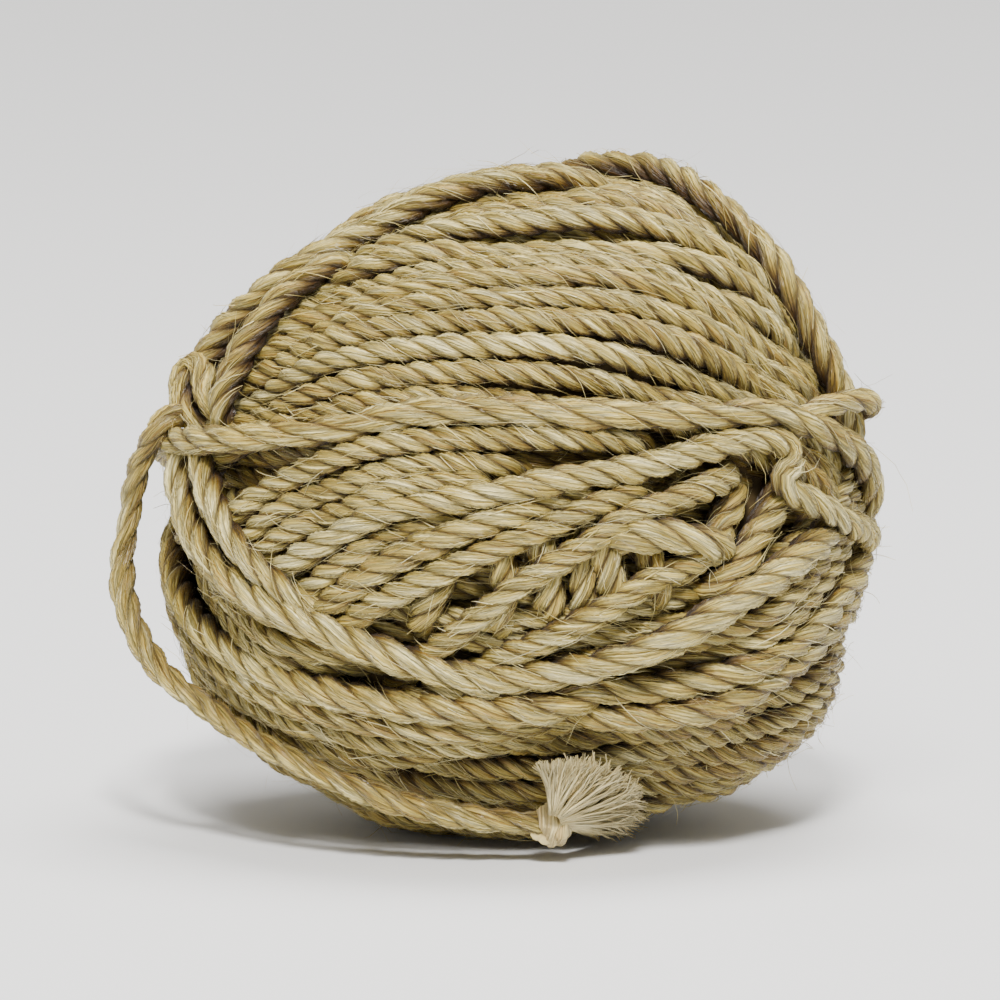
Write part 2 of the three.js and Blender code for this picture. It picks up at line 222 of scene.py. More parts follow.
# What is wound first comes first.
WINDING: tuple[Band | Run, ...] = (
    Band("crown", tilt=76, roll=2, lay=16 * MM, side_sunk=13.5 * MM),
    Band("nape", tilt=-60, roll=-2, lay=16 * MM, side_sunk=12 * MM),
    Band("middle", tilt=-7, roll=6, lay=15 * MM, side_sunk=10 * MM),
    Band("waist", tilt=-31, roll=2.5, turns=4, lay=15 * MM, side_sunk=8 * MM, shift=2 * MM),
    Run("inner_first", ((-9.5, -3, -6), (-15, -14, -4.6), (-21, -27, -5.5)), thick=6 * MM, tone=0.3),
    Run("inner_second", ((-5, -2, -6), (-3.6, -14, -4.8), (-5, -28, -5.5)), thick=5.4 * MM, tone=0.2),
    Run("inner_third", ((0.5, 0, -6), (3.2, -10, -4.6), (5, -25, -5.5)), thick=6 * MM, tone=0.35),
    Run("inner_fourth", ((7.4, -2, -6), (9.8, -13, -5), (9.5, -26, -5.5)), thick=5 * MM, tone=0.25),
    Run("inner_fifth", ((11, 0, -6), (14, -11, -4.2), (16.5, -23, -5.5)), thick=6.2 * MM, tone=0.4),
    Run("inner_sixth", ((19, -3, -6), (22.5, -13, -4.8), (25, -23, -5.5)), thick=5.6 * MM, tone=0.25),
    Run(
        "steep_left", ((40, 6, -6.5), (37.5, 0, -4.4), (34, -6, -4), (28, -12, -4.6), (22, -17, -6.5)),
        thick=5.6 * MM, lay=16 * MM, tone=0.3,
    ),
    Run(
        "steep_right", ((48, 6, -6), (44.5, -2, -3.6), (40, -8.5, -3), (34, -14.5, -3.6), (27, -20, -6)),
        thick=6.2 * MM, lay=17 * MM, tone=0.4,
    ),
    Band("dome", tilt=28, roll=-3, lay=14.5 * MM, side_sunk=5.4 * MM, shift=9.7 * MM),
    Run(
        "left_rise",
        (
            (-58, 12, -5), (-60, 19, -1), (-57.3, 26, -0.4), (-52.6, 31.8, -0.2), (-46, 37, 0),
            (-39.5, 42, 0), (-32, 47, -0.4), (-24.5, 51, -0.6), (-15, 54.6, -0.6),
            (-5, 57, -0.8), (5, 57.4, -2), (13, 55.4, -5), (20, 51, -9),
        ),
        thick=5.6 * MM, lay=17 * MM, tone=0.6,
    ),
    Run(
        "inner_rise",
        (
            (-54.5, 8, -5), (-53.5, 17, -1.6), (-51.3, 24.3, -0.8), (-47.3, 30.6, -0.6),
            (-41.4, 37, -0.8), (-34.5, 41.5, -2.2), (-28, 44.5, -5),
        ),
        thick=5.4 * MM, lay=15 * MM, tone=0.45,
    ),
    Run(
        "stub",
        (
            (40, 10, -5), (48.6, 14.4, -0.5), (53.6, 16.6, 0, 31), (57.8, 17.6, 0, 26), (61, 17.6, 0, 20),
            (61.4, 16.8, 0, 13), (57, 15.5, 0, 4), (50, 14, 0, -6),
        ),
        thick=4.8 * MM, lay=18 * MM, lie=Lie.PROUD, tone=0.6,
    ),
    Run(
        "shoulder",
        (
            (-2, 46, 0, -24), (4, 55, 0, -17), (12, 60, 0, -7), (23, 59, 0, 2), (33.5, 53.5, 0),
            (40.3, 47, 0.2),
            (46.6, 37.6, 0.2), (51.3, 28.5, 0.2), (55, 20.5, 0.2), (57, 13, -1), (57, 6, -5),
        ),
        thick=6 * MM, lay=19 * MM, lie=Lie.PROUD, tone=0.5,
    ),
    Run(
        "upper_fan",
        (
            (-58, -9, -6), (-51, -3, -4), (-45, 2, -3.4), (-31.5, 8, -2.6), (-20, 10.5, -2.4),
            (3, 11, -2.6), (15, 10.5, -3.4), (26, 9, -6),
        ),
        thick=5.0 * MM,
    ),
    Run(
        "second_fan",
        (
            (-57, -15, -6), (-50, -8, -4.4), (-43, -1.5, -3.4), (-31.5, 3, -2.8), (-20, 6.2, -2.6),
            (-7, 6.2, -3.2), (4, 5.5, -6),
        ),
        thick=4.8 * MM,
    ),
    Run(
        "third_fan",
        (
            (-56, -19, -6), (-49, -12, -4.4), (-42, -6, -3.6), (-31.5, -1.5, -2.8), (-22, 2, -2.8),
            (-12, 3, -3.6), (-2, 3.5, -6),
        ),
        thick=4.8 * MM,
    ),
    Run(
        "gap_fan",
        (
            (-48, -24, -6), (-41, -18, -4.2), (-34, -12.6, -3.4), (-26, -7.8, -3), (-16, -3.6, -3),
            (-6, -1, -4), (2, 0, -6),
        ),
        thick=4.8 * MM,
    ),
    Run(
        "thick_fan",
        (
            (-46, -28, -6), (-38, -21, -4.2), (-31.5, -16, -3), (-22, -10, -2), (-12, -5.8, -1.8),
            (-1.5, -2.2, -2), (9, 0.2, -3.2), (18, 2, -6),
        ),
        thick=5.6 * MM, lay=16 * MM,
    ),
    Run(
        "fourth_fan",
        (
            (-44, -35, -6), (-37, -28, -4.4), (-29, -20, -3.2), (-20, -15, -2.4), (-9, -10, -2.2),
            (3, -5, -2.4), (14, -0.4, -3), (25, 2.6, -6),
        ),
        thick=5.0 * MM,
    ),
    Run(
        "sixth_fan",
        (
            (-24, -43, -6), (-16, -37, -4.4), (-7, -29.8, -3.2), (4, -24.4, -2.6), (13, -19.4, -2.4),
            (21, -14.4, -2.6), (30, -10.5, -3.8), (38, -8, -6),
        ),
        thick=5.0 * MM,
    ),
    Run(
        "bight",
        (
            (10, -9.5, -5.5), (17, -6.4, -2), (24, -6.2, -1), (31, -7.2, -1.6), (35, -8.4, -5),
            (33, -9, -9),
        ),
        thick=6.8 * MM, lay=21 * MM, tone=0.75,
    ),
    Run(
        "fifth_fan",
        (
            (-31, -43, -6), (-25, -36, -4.4), (-17, -27.5, -3.2), (-8.5, -20.5, -2.4), (-1.5, -15, -1.8),
            (9, -8.8, -1.6), (18, -3, -1.8), (28, 0.8, -2.4), (40, 6, -5),
        ),
        thick=5.2 * MM, lay=13 * MM,
    ),
    Band("flank", tilt=-31, roll=15, turns=3, lay=14 * MM, side_sunk=4 * MM, shift=-6.8 * MM),
    Band(
        "heel", tilt=-33, roll=2, turns=5, lay=14 * MM, side_sunk=2.6 * MM, shift=-59 * MM,
        tone=(0.0, 0.5),
    ),
    Band(
        "belt", tilt=-31, roll=2.5, turns=9, lay=12.5 * MM, side_sunk=2.6 * MM, shift=-26.7 * MM,
        tone=(0.0, 0.5),
        special=((1, 6.2 * MM, 19 * MM, 0.55), (2, 5.6 * MM, 18 * MM, 0.3), (3, 4.6 * MM, 12 * MM, 0.6)),
    ),
    Run(
        "bright",
        (
            (-52, -20, -6), (-44, -13, -4.2), (-36, -8, -3.2), (-24, -2, -2.4), (-8.5, 0.6, -1.6),
            (8, 3.8, -1.2), (20, 5.6, -1), (30, 8.4, -0.6), (37, 10.2, -0.3), (43.4, 10.4, 0),
            (46.8, 8.8, 0.4),
            (47.2, 6, 0.6), (45.6, 3.8, 0), (47, 1.6, -0.2), (50.6, -0.2, 0), (54, -2.4, 0),
            (57.2, -4, 0), (59.8, -5.4, 0, 16), (60.6, -6.6, 0, 8), (58, -8.6, 0, -6), (51, -11, 0, -18),
        ),
        thick=5.4 * MM, lay=16 * MM, tone=0.9,
    ),
    Run(
        "second_descent",
        (
            (-57, 14, -4), (-57, 7, -1.6), (-55, 0, -1), (-51, -7.5, -0.8), (-45, -13.5, -1.2),
            (-37, -20, -2.6), (-30, -25, -5),
        ),
        thick=5.4 * MM, lay=18 * MM, tone=0.75,
    ),
    Run(
        "left_descent",
        (
            (-58, 15, -4), (-61, 7, -1), (-60.6, 0, -0.8), (-56.6, -9, -0.6), (-46, -18, -0.4),
            (-35, -23, -0.8), (-24, -28.2, -0.4), (-8, -32.6, -0.2), (10, -30.2, -0.2),
            (26, -24, -0.4), (40.5, -15.2, -0.8), (50, -8.6, -1.6), (55, -4, -4),
        ),
        thick=6.2 * MM, lay=20 * MM, tone=0.85,
    ),
    Run(
        "cross",
        (
            (-48, 3, 0, -31), (-57.5, 6, 0, -25), (-64.5, 8.5, 0, -8), (-60, 10.5, 0.2),
            (-49.5, 11, 0.4), (-36, 12.5, 0), (-22.5, 15, -1.2), (-4.5, 15.8, -1.8),
            (13.5, 15, -1.8), (31.5, 14.6, -0.8), (43.4, 15.4, 0.2), (49, 13.6, 0.6), (54, 11.2, 0.8),
            (58.4, 8.4, 0.6), (61, 4, 0, 10), (60.6, -1, 0, 3), (58, -4, 0, -9), (52, -7, 0, -22),
        ),
        thick=5.6 * MM, lay=26 * MM, tone=0.55,
    ),
    Run(
        "left_bight",
        (
            (-58, 9, 0, 18), (-60.2, 14, 0, 16), (-61.2, 20, 0, 13), (-60, 24, 0, 11),
            (-57.4, 23.6, 0, 13), (-56.8, 18, 0, 18), (-55.4, 11, 0, 22),
        ),
        thick=4.4 * MM, lay=18 * MM, lie=Lie.PROUD, tone=0.6,
    ),
)


@dataclass
class Cord:
    """One length of string in the winding: its middle line, thickness and lay."""

    name: str
    line: np.ndarray
    thick: float
    lay: float
    closed: bool
    tone: float
    low: np.ndarray | float = 0.0
    high: np.ndarray | float = 1.0


@dataclass
class Heap:
    """The ball's height over a net of directions, as it grows turn by turn.

    nestle: how close cords settle into each other; post_count and spread: the coarser net that
    heights are evened out on; hollow: the open hollow's direction, with its width and depth;
    core_sunk, core_lowest and inside_lowest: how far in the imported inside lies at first, at most
    while winding, and at most in the end; proud: how far single turns may stand out; bend: how
    fast a taut cord may drop away from a bump, per millimetre squared; limp: the spread of its
    smoothing in points; settled and pressed: the percentiles of height that are set on the form.
    """

    form: WindingFrame
    points: int = 36000
    nestle: float = 0.8
    post_count: int = 1100
    spread: float = 6.5 * MM
    hollow: tuple[float, float, float] = (0.1, -0.16, 1.0)
    hollow_wide: float = math.radians(36)
    hollow_floor: float = 0.6
    hollow_sunk: float = 12 * MM
    core_sunk: float = 6 * MM
    core_highest: float = 0.8
    core_lowest: float = 16 * MM
    inside_lowest: float = 8.5 * MM
    proud: float = 0.8 * MM
    least_distance: float = 0.03
    bend: float = 0.022
    limp: float = 2.2
    settled: float = 93
    pressed: float = 95
    directions: np.ndarray = field(init=False)
    posts: np.ndarray = field(init=False)
    form_height: np.ndarray = field(init=False)
    core: np.ndarray = field(init=False)
    height: np.ndarray = field(init=False)
    wanted: np.ndarray = field(init=False)
    target: np.ndarray = field(init=False)

    def __post_init__(self) -> None:
        """Spreads the net and packs the inside up to its first height."""
        self.directions = net(self.points)
        self.posts = net(self.post_count)
        self.form_height = self.form.form_radius(self.directions)
        self.core = self.form_height - self.sunk()
        self.target = self.form_height.copy()
        self.restart()

    def restart(self) -> None:
        """Takes off all the cords."""
        self.height = self.core.copy()
        self.wanted = self.core.copy()

    def hollow_share(self) -> np.ndarray:
        """1 in the open hollow at the front, 0 away from it."""
        middle = unit(np.array(self.hollow))
        off = np.arccos(np.clip(self.directions @ middle, -1, 1))
        return 1 - smoothstep(self.hollow_floor * self.hollow_wide, self.hollow_wide, off)

    def sunk(self) -> np.ndarray:
        """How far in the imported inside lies."""
        return self.core_sunk + (self.hollow_sunk - self.core_sunk) * self.hollow_share()

    def near(self, directions: np.ndarray, radius: float) -> tuple[np.ndarray, np.ndarray, np.ndarray]:
        """Pairs of a line's point and a net point that lie close together.

        Args:
            directions: the line's directions.
            radius: how close, in metres on the ball.

        Returns:
            Index on the line, index on the net, and distance.
        """
        mean = float(self.form.depth_radius)
        cosine = directions.astype(np.float32) @ self.directions.T.astype(np.float32)
        on_line, on_net = np.nonzero(cosine > math.cos(radius / mean))
        gap = mean * np.sqrt(np.maximum(0, 2 - 2 * cosine[on_line, on_net].astype(float)))
        return on_line, on_net, gap

    def lay(self, cord: Cord, dive: np.ndarray) -> None:
        """Lays a cord on the heap, sets its line's distance from the middle, and adds it.

        Args:
            cord: the cord, whose line gives only directions before the call.
            dive: how far each point is tucked in under its neighbours.
        """
        directions = unit(cord.line)
        radius = cord.thick / 2
        contact = radius * self.nestle
        on_line, on_net, gap = self.near(directions, contact)
        need = np.full(len(directions), self.least_distance)
        np.maximum.at(need, on_line, self.height[on_net] + np.sqrt(np.maximum(0, contact**2 - gap**2)))
        wish = self.soften(self.tighten(cord, need), cord.closed)
        distance = np.clip(wish, cord.low, cord.high)
        self.stamp(self.wanted, directions, wish - dive, radius)
        self.stamp(self.height, directions, distance - dive, radius)
        cord.line = directions * (distance - dive)[:, None]

    def stamp(
        self, height: np.ndarray, directions: np.ndarray, distance: np.ndarray, radius: float
    ) -> None:
        """Raises a height map to the top of a cord.

        Args:
            height: the map, changed in place.
            directions: the cord's directions.
            distance: its distance from the middle at each.
            radius: its radius.
        """
        on_line, on_net, gap = self.near(directions, radius)
        np.maximum.at(height, on_net, distance[on_line] + np.sqrt(np.maximum(0, radius**2 - gap**2)))

    def tighten(self, cord: Cord, need: np.ndarray) -> np.ndarray:
        """The line that a stiff, taut string takes over bumps, which it can't follow closely.

        Args:
            cord: the cord.
            need: the least distance from the middle at each point.

        Returns:
            The distance from the middle at each point.
        """
        count = len(need)
        step = float(np.linalg.norm(np.diff(unit(cord.line), axis=0), axis=1).mean()) * MEAN_RADIUS_MM
        index = np.arange(count)
        apart = np.abs(index[:, None] - index[None, :])
        if cord.closed:
            apart = np.minimum(apart, count - apart)
        return np.max(need[None, :] - self.bend * (apart * step) ** 2 * MM, axis=1)

    def soften(self, values: np.ndarray, closed: bool) -> np.ndarray:
        """A moving average with a round window.

        Args:
            values: the numbers along a line.
            closed: whether the line is a loop.

        Returns:
            The smoothed numbers.
        """
        reach = int(3 * self.limp)
        window = np.exp(-0.5 * (np.arange(-reach, reach + 1) / self.limp) ** 2)
        padded = np.pad(values, reach, mode="wrap" if closed else "edge")
        return np.convolve(padded, window / window.sum(), mode="valid")

    def excess(self, height: np.ndarray, share: float) -> np.ndarray:
        """How far a height map stands over its target round each post.

        Args:
            height: the height map.
            share: the percentile of the heights round a post that is taken.

        Returns:
            The excess at each post.
        """
        on_post, on_net, _ = self.near(self.posts, self.spread)
        over = height - self.target
        return np.array(
            [np.percentile(over[on_net[on_post == i]], share) for i in range(len(self.posts))]
        )

    def between_posts(self, values: np.ndarray, directions: np.ndarray) -> np.ndarray:
        """The posts' values, blended smoothly at other directions."""
        closeness = np.exp((directions @ self.posts.T - 1) * (self.form.depth_radius / self.spread) ** 2)
        return (closeness @ values) / closeness.sum(axis=1)

    def level(self) -> None:
        """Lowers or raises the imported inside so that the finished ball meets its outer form."""
        excess = self.excess(self.wanted, self.settled)
        self.core -= self.between_posts(excess, self.directions) * (1 - self.hollow_share())
        lowest = self.form_height - self.core_lowest
        self.core = np.clip(self.core, lowest, self.form_height - self.core_sunk * self.core_highest)
        self.restart()

    def press(self, cords: list[Cord]) -> None:
        """Presses whatever still stands too far out down to the form, all layers alike.

        Args:
            cords: the cords to press.
        """
        excess = np.maximum(0.0, self.excess(self.height, self.pressed) - self.proud)
        for cord in cords:
            directions = unit(cord.line)
            distance = np.linalg.norm(cord.line, axis=1) - self.between_posts(excess, directions)
            cord.line = directions * distance[:, None]
        self.core = np.minimum(self.core, self.form_height - self.core_sunk)
        self.core -= self.between_posts(excess, self.directions)
        lowest = self.inside_lowest + (self.hollow_sunk - self.inside_lowest) * self.hollow_share()
        self.core = np.maximum(self.core, self.form_height - lowest)


@dataclass
class Winder:
    """Turns the winding list into laid cords.

    rounds: how many times the whole ball is wound, with its inside levelled in between; loop: the
    points of a closed turn; own_wander: how much of a band's wander each turn has to itself;
    uneven_thick and uneven_lay: the least and most of a turn's thickness and lay; free: how much
    higher than the form a turn may lie at first in front; slack_in and slack_out: how far a single
    run may lie under and over its route.
    """

    form: WindingFrame
    seed: int = 7
    step: float = 1 * MM
    rounds: int = 3
    loop: int = 384
    own_wander: float = 0.35
    uneven_thick: tuple[float, float] = (0.94, 1.08)
    uneven_lay: tuple[float, float] = (0.88, 1.18)
    free: float = 3 * MM
    slack_in: float = 1.6 * MM
    slack_out: float = 0.5 * MM
    cords: list[Cord] = field(default_factory=list)

    def band_lines(self, band: Band, rng: np.random.Generator) -> list[Cord]:
        """The closed loops of a band.

        Args:
            band: the band.
            rng: the source of small unevenness.

        Returns:
            One cord for each turn, with directions for its line.
        """
        tilt, roll = math.radians(band.tilt), math.radians(band.roll)
        facing = np.array([0, math.sin(tilt), math.cos(tilt)])
        right = np.array([math.cos(roll), math.sin(roll), 0])
        right = unit(right - facing * (right @ facing))
        up = np.cross(facing, right)
        mean = self.form.depth_radius
        angle = math.pi + np.arange(self.loop) * 2 * math.pi / self.loop
        aside = np.sin(angle) ** 2
        shared = self.wander(rng, angle) * band.wander
        cords = []
        for turn in range(band.turns):
            off = ((band.turns - 1) / 2 - turn) * band.pitch * (1 - band.gather * aside)
            own = self.wander(rng, angle) * self.own_wander * band.wander
            off = (off + band.shift + shared + own) / mean
            around = np.cos(angle)[:, None] * facing + np.sin(angle)[:, None] * right
            line = np.cos(off)[:, None] * around + np.sin(off)[:, None] * up
            thick = band.thick * rng.uniform(*self.uneven_thick)
            lay = band.lay * rng.uniform(*self.uneven_lay)
            tone = rng.uniform(*band.tone)
            for number, *its_own in band.special:
                if number == turn + 1:
                    thick, lay, tone = its_own
            beside = line[:, 0] ** 2
            high = self.form.form_radius(line) - band.side_sunk * smoothstep(0.3, 1.0, beside)
            high = high + self.free * (1 - smoothstep(0.0, 0.5, beside))
            cords.append(Cord(f"{band.name}_{turn + 1}", line, thick, lay, True, tone, 0.0, high))
        rng.shuffle(cords)
        return cords

    def wander(self, rng: np.random.Generator, angle: np.ndarray) -> np.ndarray:
        """A smooth, closed, uneven line between about -1 and 1."""
        slowest, quickest, evened = 2, 8, 1.2
        waves = sum(
            rng.normal(0, 1) * np.cos(k * angle + rng.uniform(0, 2 * math.pi)) / k
            for k in range(slowest, quickest + 1)
        )
        return waves / evened

    def run_line(self, run: Run) -> Cord:
        """A single run as an open cord on its route."""
        points = np.array([self.form.place(*row) for row in run.route])
        line = smooth_line(points, self.step)
        planned = np.linalg.norm(line, axis=1)
        low = planned - (0.0 if run.lie is Lie.PROUD else self.slack_in)
        high = planned + self.slack_out
        return Cord(run.name, line, run.thick, run.lay, False, run.tone, low, high)

    def tuck(self, cord: Cord, deep: float = 7.5 * MM, over: float = 9 * MM) -> np.ndarray:
        """How far an open cord's ends are tucked in under their neighbours."""
        if cord.closed:
            return np.zeros(len(cord.line))
        along = np.arange(len(cord.line)) * self.step
        return deep * (1 - smoothstep(0, over, np.minimum(along, along[-1] - along)))

    def wind(self) -> Heap:
        """Winds the whole ball, levelling its inside between rounds.

        Returns:
            The heap as it stands after the last round.
        """
        heap = Heap(self.form)
        for run in (item for item in WINDING if isinstance(item, Run)):
            cord = self.run_line(run)
            distance = np.linalg.norm(cord.line, axis=1)
            heap.stamp(heap.target, unit(cord.line), distance - self.tuck(cord), cord.thick / 2)
        for number in range(self.rounds):
            rng = np.random.default_rng(self.seed)
            self.cords = []
            for item in WINDING:
                laid = self.band_lines(item, rng) if isinstance(item, Band) else [self.run_line(item)]
                for cord in laid:
                    heap.lay(cord, self.tuck(cord))
                self.cords += laid
            if number + 1 < self.rounds:
                heap.level()
        heap.press(self.cords)
        return heap


@dataclass
class Tubes:
    """Many tubes gathered into one mesh, with a UV map in metres and a tone for each tube.

    end_light: how light the cut ends' middles are painted, as painted shade on the ends;
    blade_girth: the width that a flat blade's finish has.
    """

    end_light: float = 0.35
    blade_girth: float = 0.2 * MM
    vertices: list[np.ndarray] = field(default_factory=list)
    quads: list[np.ndarray] = field(default_factory=list)
    quad_uvs: list[np.ndarray] = field(default_factory=list)
    caps: list[np.ndarray] = field(default_factory=list)
    cap_uvs: list[np.ndarray] = field(default_factory=list)
    tones: list[np.ndarray] = field(default_factory=list)
    lights: list[np.ndarray] = field(default_factory=list)
    count: int = 0

    def add(
        self, rings: np.ndarray, closed: bool, length: float, girth: float, tone: float,
        light: np.ndarray | float = 1.0,
    ) -> None:
        """Adds a tube through rings of points.

        Args:
            rings: points, by ring and by place round it.
            closed: whether the last ring joins the first.
            length: the tube's length.
            girth: the length once round it.
            tone: a number from 0 to 1 that its finish varies by.
            light: how open to light each point is, from 0 to 1.
        """
        total, around = rings.shape[:2]
        spans = total if closed else total - 1
        i, j = np.meshgrid(np.arange(spans), np.arange(around), indexing="ij")
        following, beside = (i + 1) % total, (j + 1) % around
        quad = np.stack(
            [i * around + j, i * around + beside, following * around + beside, following * around + j],
            axis=-1,
        )
        u0, u1 = i / spans * length, (i + 1) / spans * length
        v0, v1 = j / around * girth, (j + 1) / around * girth
        uv = np.stack([u0, v0, u0, v1, u1, v1, u1, v0], axis=-1)
        self.vertices.append(rings.reshape(-1, 3))
        self.quads.append(quad.reshape(-1, 4) + self.count)
        self.quad_uvs.append(uv.reshape(-1, 2))
        size = total * around
        if not closed:
            self.vertices.append(np.stack([rings[0].mean(axis=0), rings[-1].mean(axis=0)]))
            here = np.arange(around)
            after = (here + 1) % around
            first = np.stack([np.full(around, size), after, here], axis=1)
            last = np.stack([np.full(around, size + 1), here, after], axis=1)
            last[:, 1:] += (total - 1) * around
            self.caps.append(np.vstack([first, last]) + self.count)
            self.cap_uvs.append(np.zeros((6 * around, 2)))
            size += 2
        # Painted shade: the cut ends' middles get the low end_light.
        shining = np.full(size, self.end_light)
        shining[: total * around] = np.broadcast_to(light, (total, around)).ravel()
        self.lights.append(shining)
        self.tones.append(np.full(size, tone))
        self.count += size

    def add_blade(self, edges: np.ndarray, length: float, tone: float) -> None:
        """Adds a flat blade.

        Args:
            edges: the points of one edge and then those of the other.
            length: its length.
            tone: a number from 0 to 1 that its finish varies by.
        """
        count = len(edges) // 2
        i = np.arange(count - 1)
        quad = np.stack([i, i + 1, i + 1 + count, i + count], axis=1)
        u0, u1 = i / (count - 1) * length, (i + 1) / (count - 1) * length
        low, high = np.zeros(count - 1), np.full(count - 1, self.blade_girth)
        self.vertices.append(edges)
        self.quads.append(quad + self.count)
        self.quad_uvs.append(np.stack([u0, low, u1, low, u1, high, u0, high], axis=1).reshape(-1, 2))
        self.tones.append(np.full(2 * count, tone))
        self.lights.append(np.ones(2 * count))
        self.count += 2 * count

    def piece(self, name: str, finish: bpy.types.Material) -> bpy.types.Object:
        """Makes the mesh object.

        Args:
            name: the object's name.
            finish: its material.

        Returns:
            The object, in the scene.
        """
        mesh = bpy.data.meshes.new(name)
        faces = np.vstack(self.quads).tolist()
        uvs = list(self.quad_uvs)
        if self.caps:
            faces += np.vstack(self.caps).tolist()
            uvs += self.cap_uvs
        mesh.from_pydata(np.vstack(self.vertices).tolist(), [], faces)
        layer = mesh.uv_layers.new(name="UVMap")
        layer.data.foreach_set("uv", np.vstack(uvs).ravel())
        for label, values in (("tone", self.tones), ("light", self.lights)):
            layer = mesh.attributes.new(label, "FLOAT", "POINT")
            layer.data.foreach_set("value", np.concatenate(values))
        mesh.polygons.foreach_set("use_smooth", np.ones(len(faces), dtype=bool))
        mesh.update()
        mesh.materials.append(finish)
        made = bpy.data.objects.new(name, mesh)
        bpy.context.scene.collection.objects.link(made)
        LOG.info("%s: %d vertices, %d faces", name, len(mesh.vertices), len(mesh.polygons))
        return made


@dataclass(frozen=True)
class Strands:
    """The section of three-strand string, and how it is swept along a line.

    places: the section's points on a strand, from its groove at -1 to the next at 1; strand_radius
    and strand_offset: a strand's radius and its middle's place, as shares of the string's radius;
    waves: the lengths of the string's thick and thin stretches; pulse: that of a strand's swelling,
    and plump its share; groove_light: how light a groove is painted, as painted shade between the
    strands; shut and open_from: how far round to the string's inner side it is painted dark, as
    painted shade, and from where it is fully light.
    """

    count: int = 3
    places: tuple[float, ...] = (-1.0, -0.84, -0.54, -0.18, 0.18, 0.54, 0.84)
    rings_per_lay: int = 13
    strand_radius: float = 0.575
    strand_offset: float = 0.425
    waves: tuple[float, ...] = (0.09, 0.037, 0.016)
    pulse: float = 0.016
    plump: float = 0.05
    groove_light: float = 0.36
    groove_wide: float = 0.5
    shut: float = 0.16
    open_from: float = 0.86

    def section(self) -> tuple[np.ndarray, np.ndarray]:
        """Angles round the string and its reach there, as a share of its radius.

        Returns:
            The angles and the reaches.
        """
        inside = np.radians(180 / self.count) * np.array(self.places)
        reach = self.strand_offset * np.cos(inside) + np.sqrt(
            self.strand_radius**2 - (self.strand_offset * np.sin(inside)) ** 2
        )
        angles = [inside + strand * 2 * math.pi / self.count for strand in range(self.count)]
        return np.concatenate(angles), np.tile(reach, self.count)

    def frames(self, line: np.ndarray, closed: bool, outward: np.ndarray) -> tuple[np.ndarray, ...]:
        """Directions along and across a line.

        Args:
            line: the line's points.
            closed: whether it is a loop.
            outward: the way that the first side direction leans, for each point.

        Returns:
            The two side directions at each point.
        """
        if closed:
            along = unit(np.roll(line, -1, axis=0) - np.roll(line, 1, axis=0))
            side = unit(outward - along * np.sum(outward * along, axis=1, keepdims=True))
            return side, np.cross(along, side)
        along = unit(np.gradient(line, axis=0))
        side = np.zeros_like(line)
        last = outward[0]
        for i, ahead in enumerate(along):
            last = unit(last - ahead * (last @ ahead))
            side[i] = last
        return side, np.cross(along, side)

    def sweep(self, cord: Cord, rng: np.random.Generator, swell: float = 0.05) -> "Sheath":
        """The cord's surface.

        Args:
            cord: the cord, with its line in place.
            rng: the source of unevenness.
            swell: how much the string's thickness varies.

        Returns:
            The rings, the cord's length and the light that its surface gets.
        """
        line = self.respaced(cord)
        ends = np.vstack([line, line[:1]]) if cord.closed else line
        steps = np.linalg.norm(np.diff(ends, axis=0), axis=1)
        along = np.concatenate([[0.0], np.cumsum(steps)])
        length = float(along[-1])
        turns = length / cord.lay
        if cord.closed:
            turns = round(turns)
        outward = unit(line)
        side, across = self.frames(line, cord.closed, outward)
        angles, reach = self.section()
        share = along[: len(line)] / length
        twist = 2 * math.pi * (turns * share + rng.uniform())
        phase = rng.uniform(0, 2 * math.pi, self.count)
        thick = 1 + swell * sum(
            np.sin(2 * math.pi * share * round(length / wave) + phase[k]) / (k + 1)
            for k, wave in enumerate(self.waves)
        )
        pulses = 2 * math.pi * round(length / self.pulse)
        strand = 1 + self.plump * np.sin(np.repeat(phase, len(self.places)) + pulses * share[:, None])
        radius = cord.thick / 2 * thick[:, None] * reach[None, :] * strand
        theta = twist[:, None] + angles[None, :]
        offset = side[:, None, :] * (radius * np.cos(theta))[..., None]
        offset += across[:, None, :] * (radius * np.sin(theta))[..., None]
        # Painted shade: the grooves between strands and the string's inner side get a low light value,
        # which darkens the string's colour in its finish.
        crest = (reach - reach.min()) / (reach.max() - reach.min())
        open_side = 0.5 + 0.5 * np.cos(theta)
        light = self.groove_light + (1 - self.groove_light) * smoothstep(0.0, self.groove_wide, crest)
        light = light[None, :] * smoothstep(self.shut, self.open_from, open_side)
        return Sheath(line[:, None, :] + offset, length, light, line, side, across, cord)

    def respaced(self, cord: Cord) -> np.ndarray:
        """The cord's line with as many points as its lay asks for."""
        line = np.vstack([cord.line, cord.line[:1]]) if cord.closed else cord.line
        spaced = evenly(line, cord.lay / self.rings_per_lay)
        return spaced[:-1] if cord.closed else spaced


@dataclass
class Sheath:
    """A cord's surface as rings of points, how open to light each is, and the frames it was built on."""

    rings: np.ndarray
    length: float
    light: np.ndarray
    line: np.ndarray
    side: np.ndarray
    across: np.ndarray
    cord: Cord


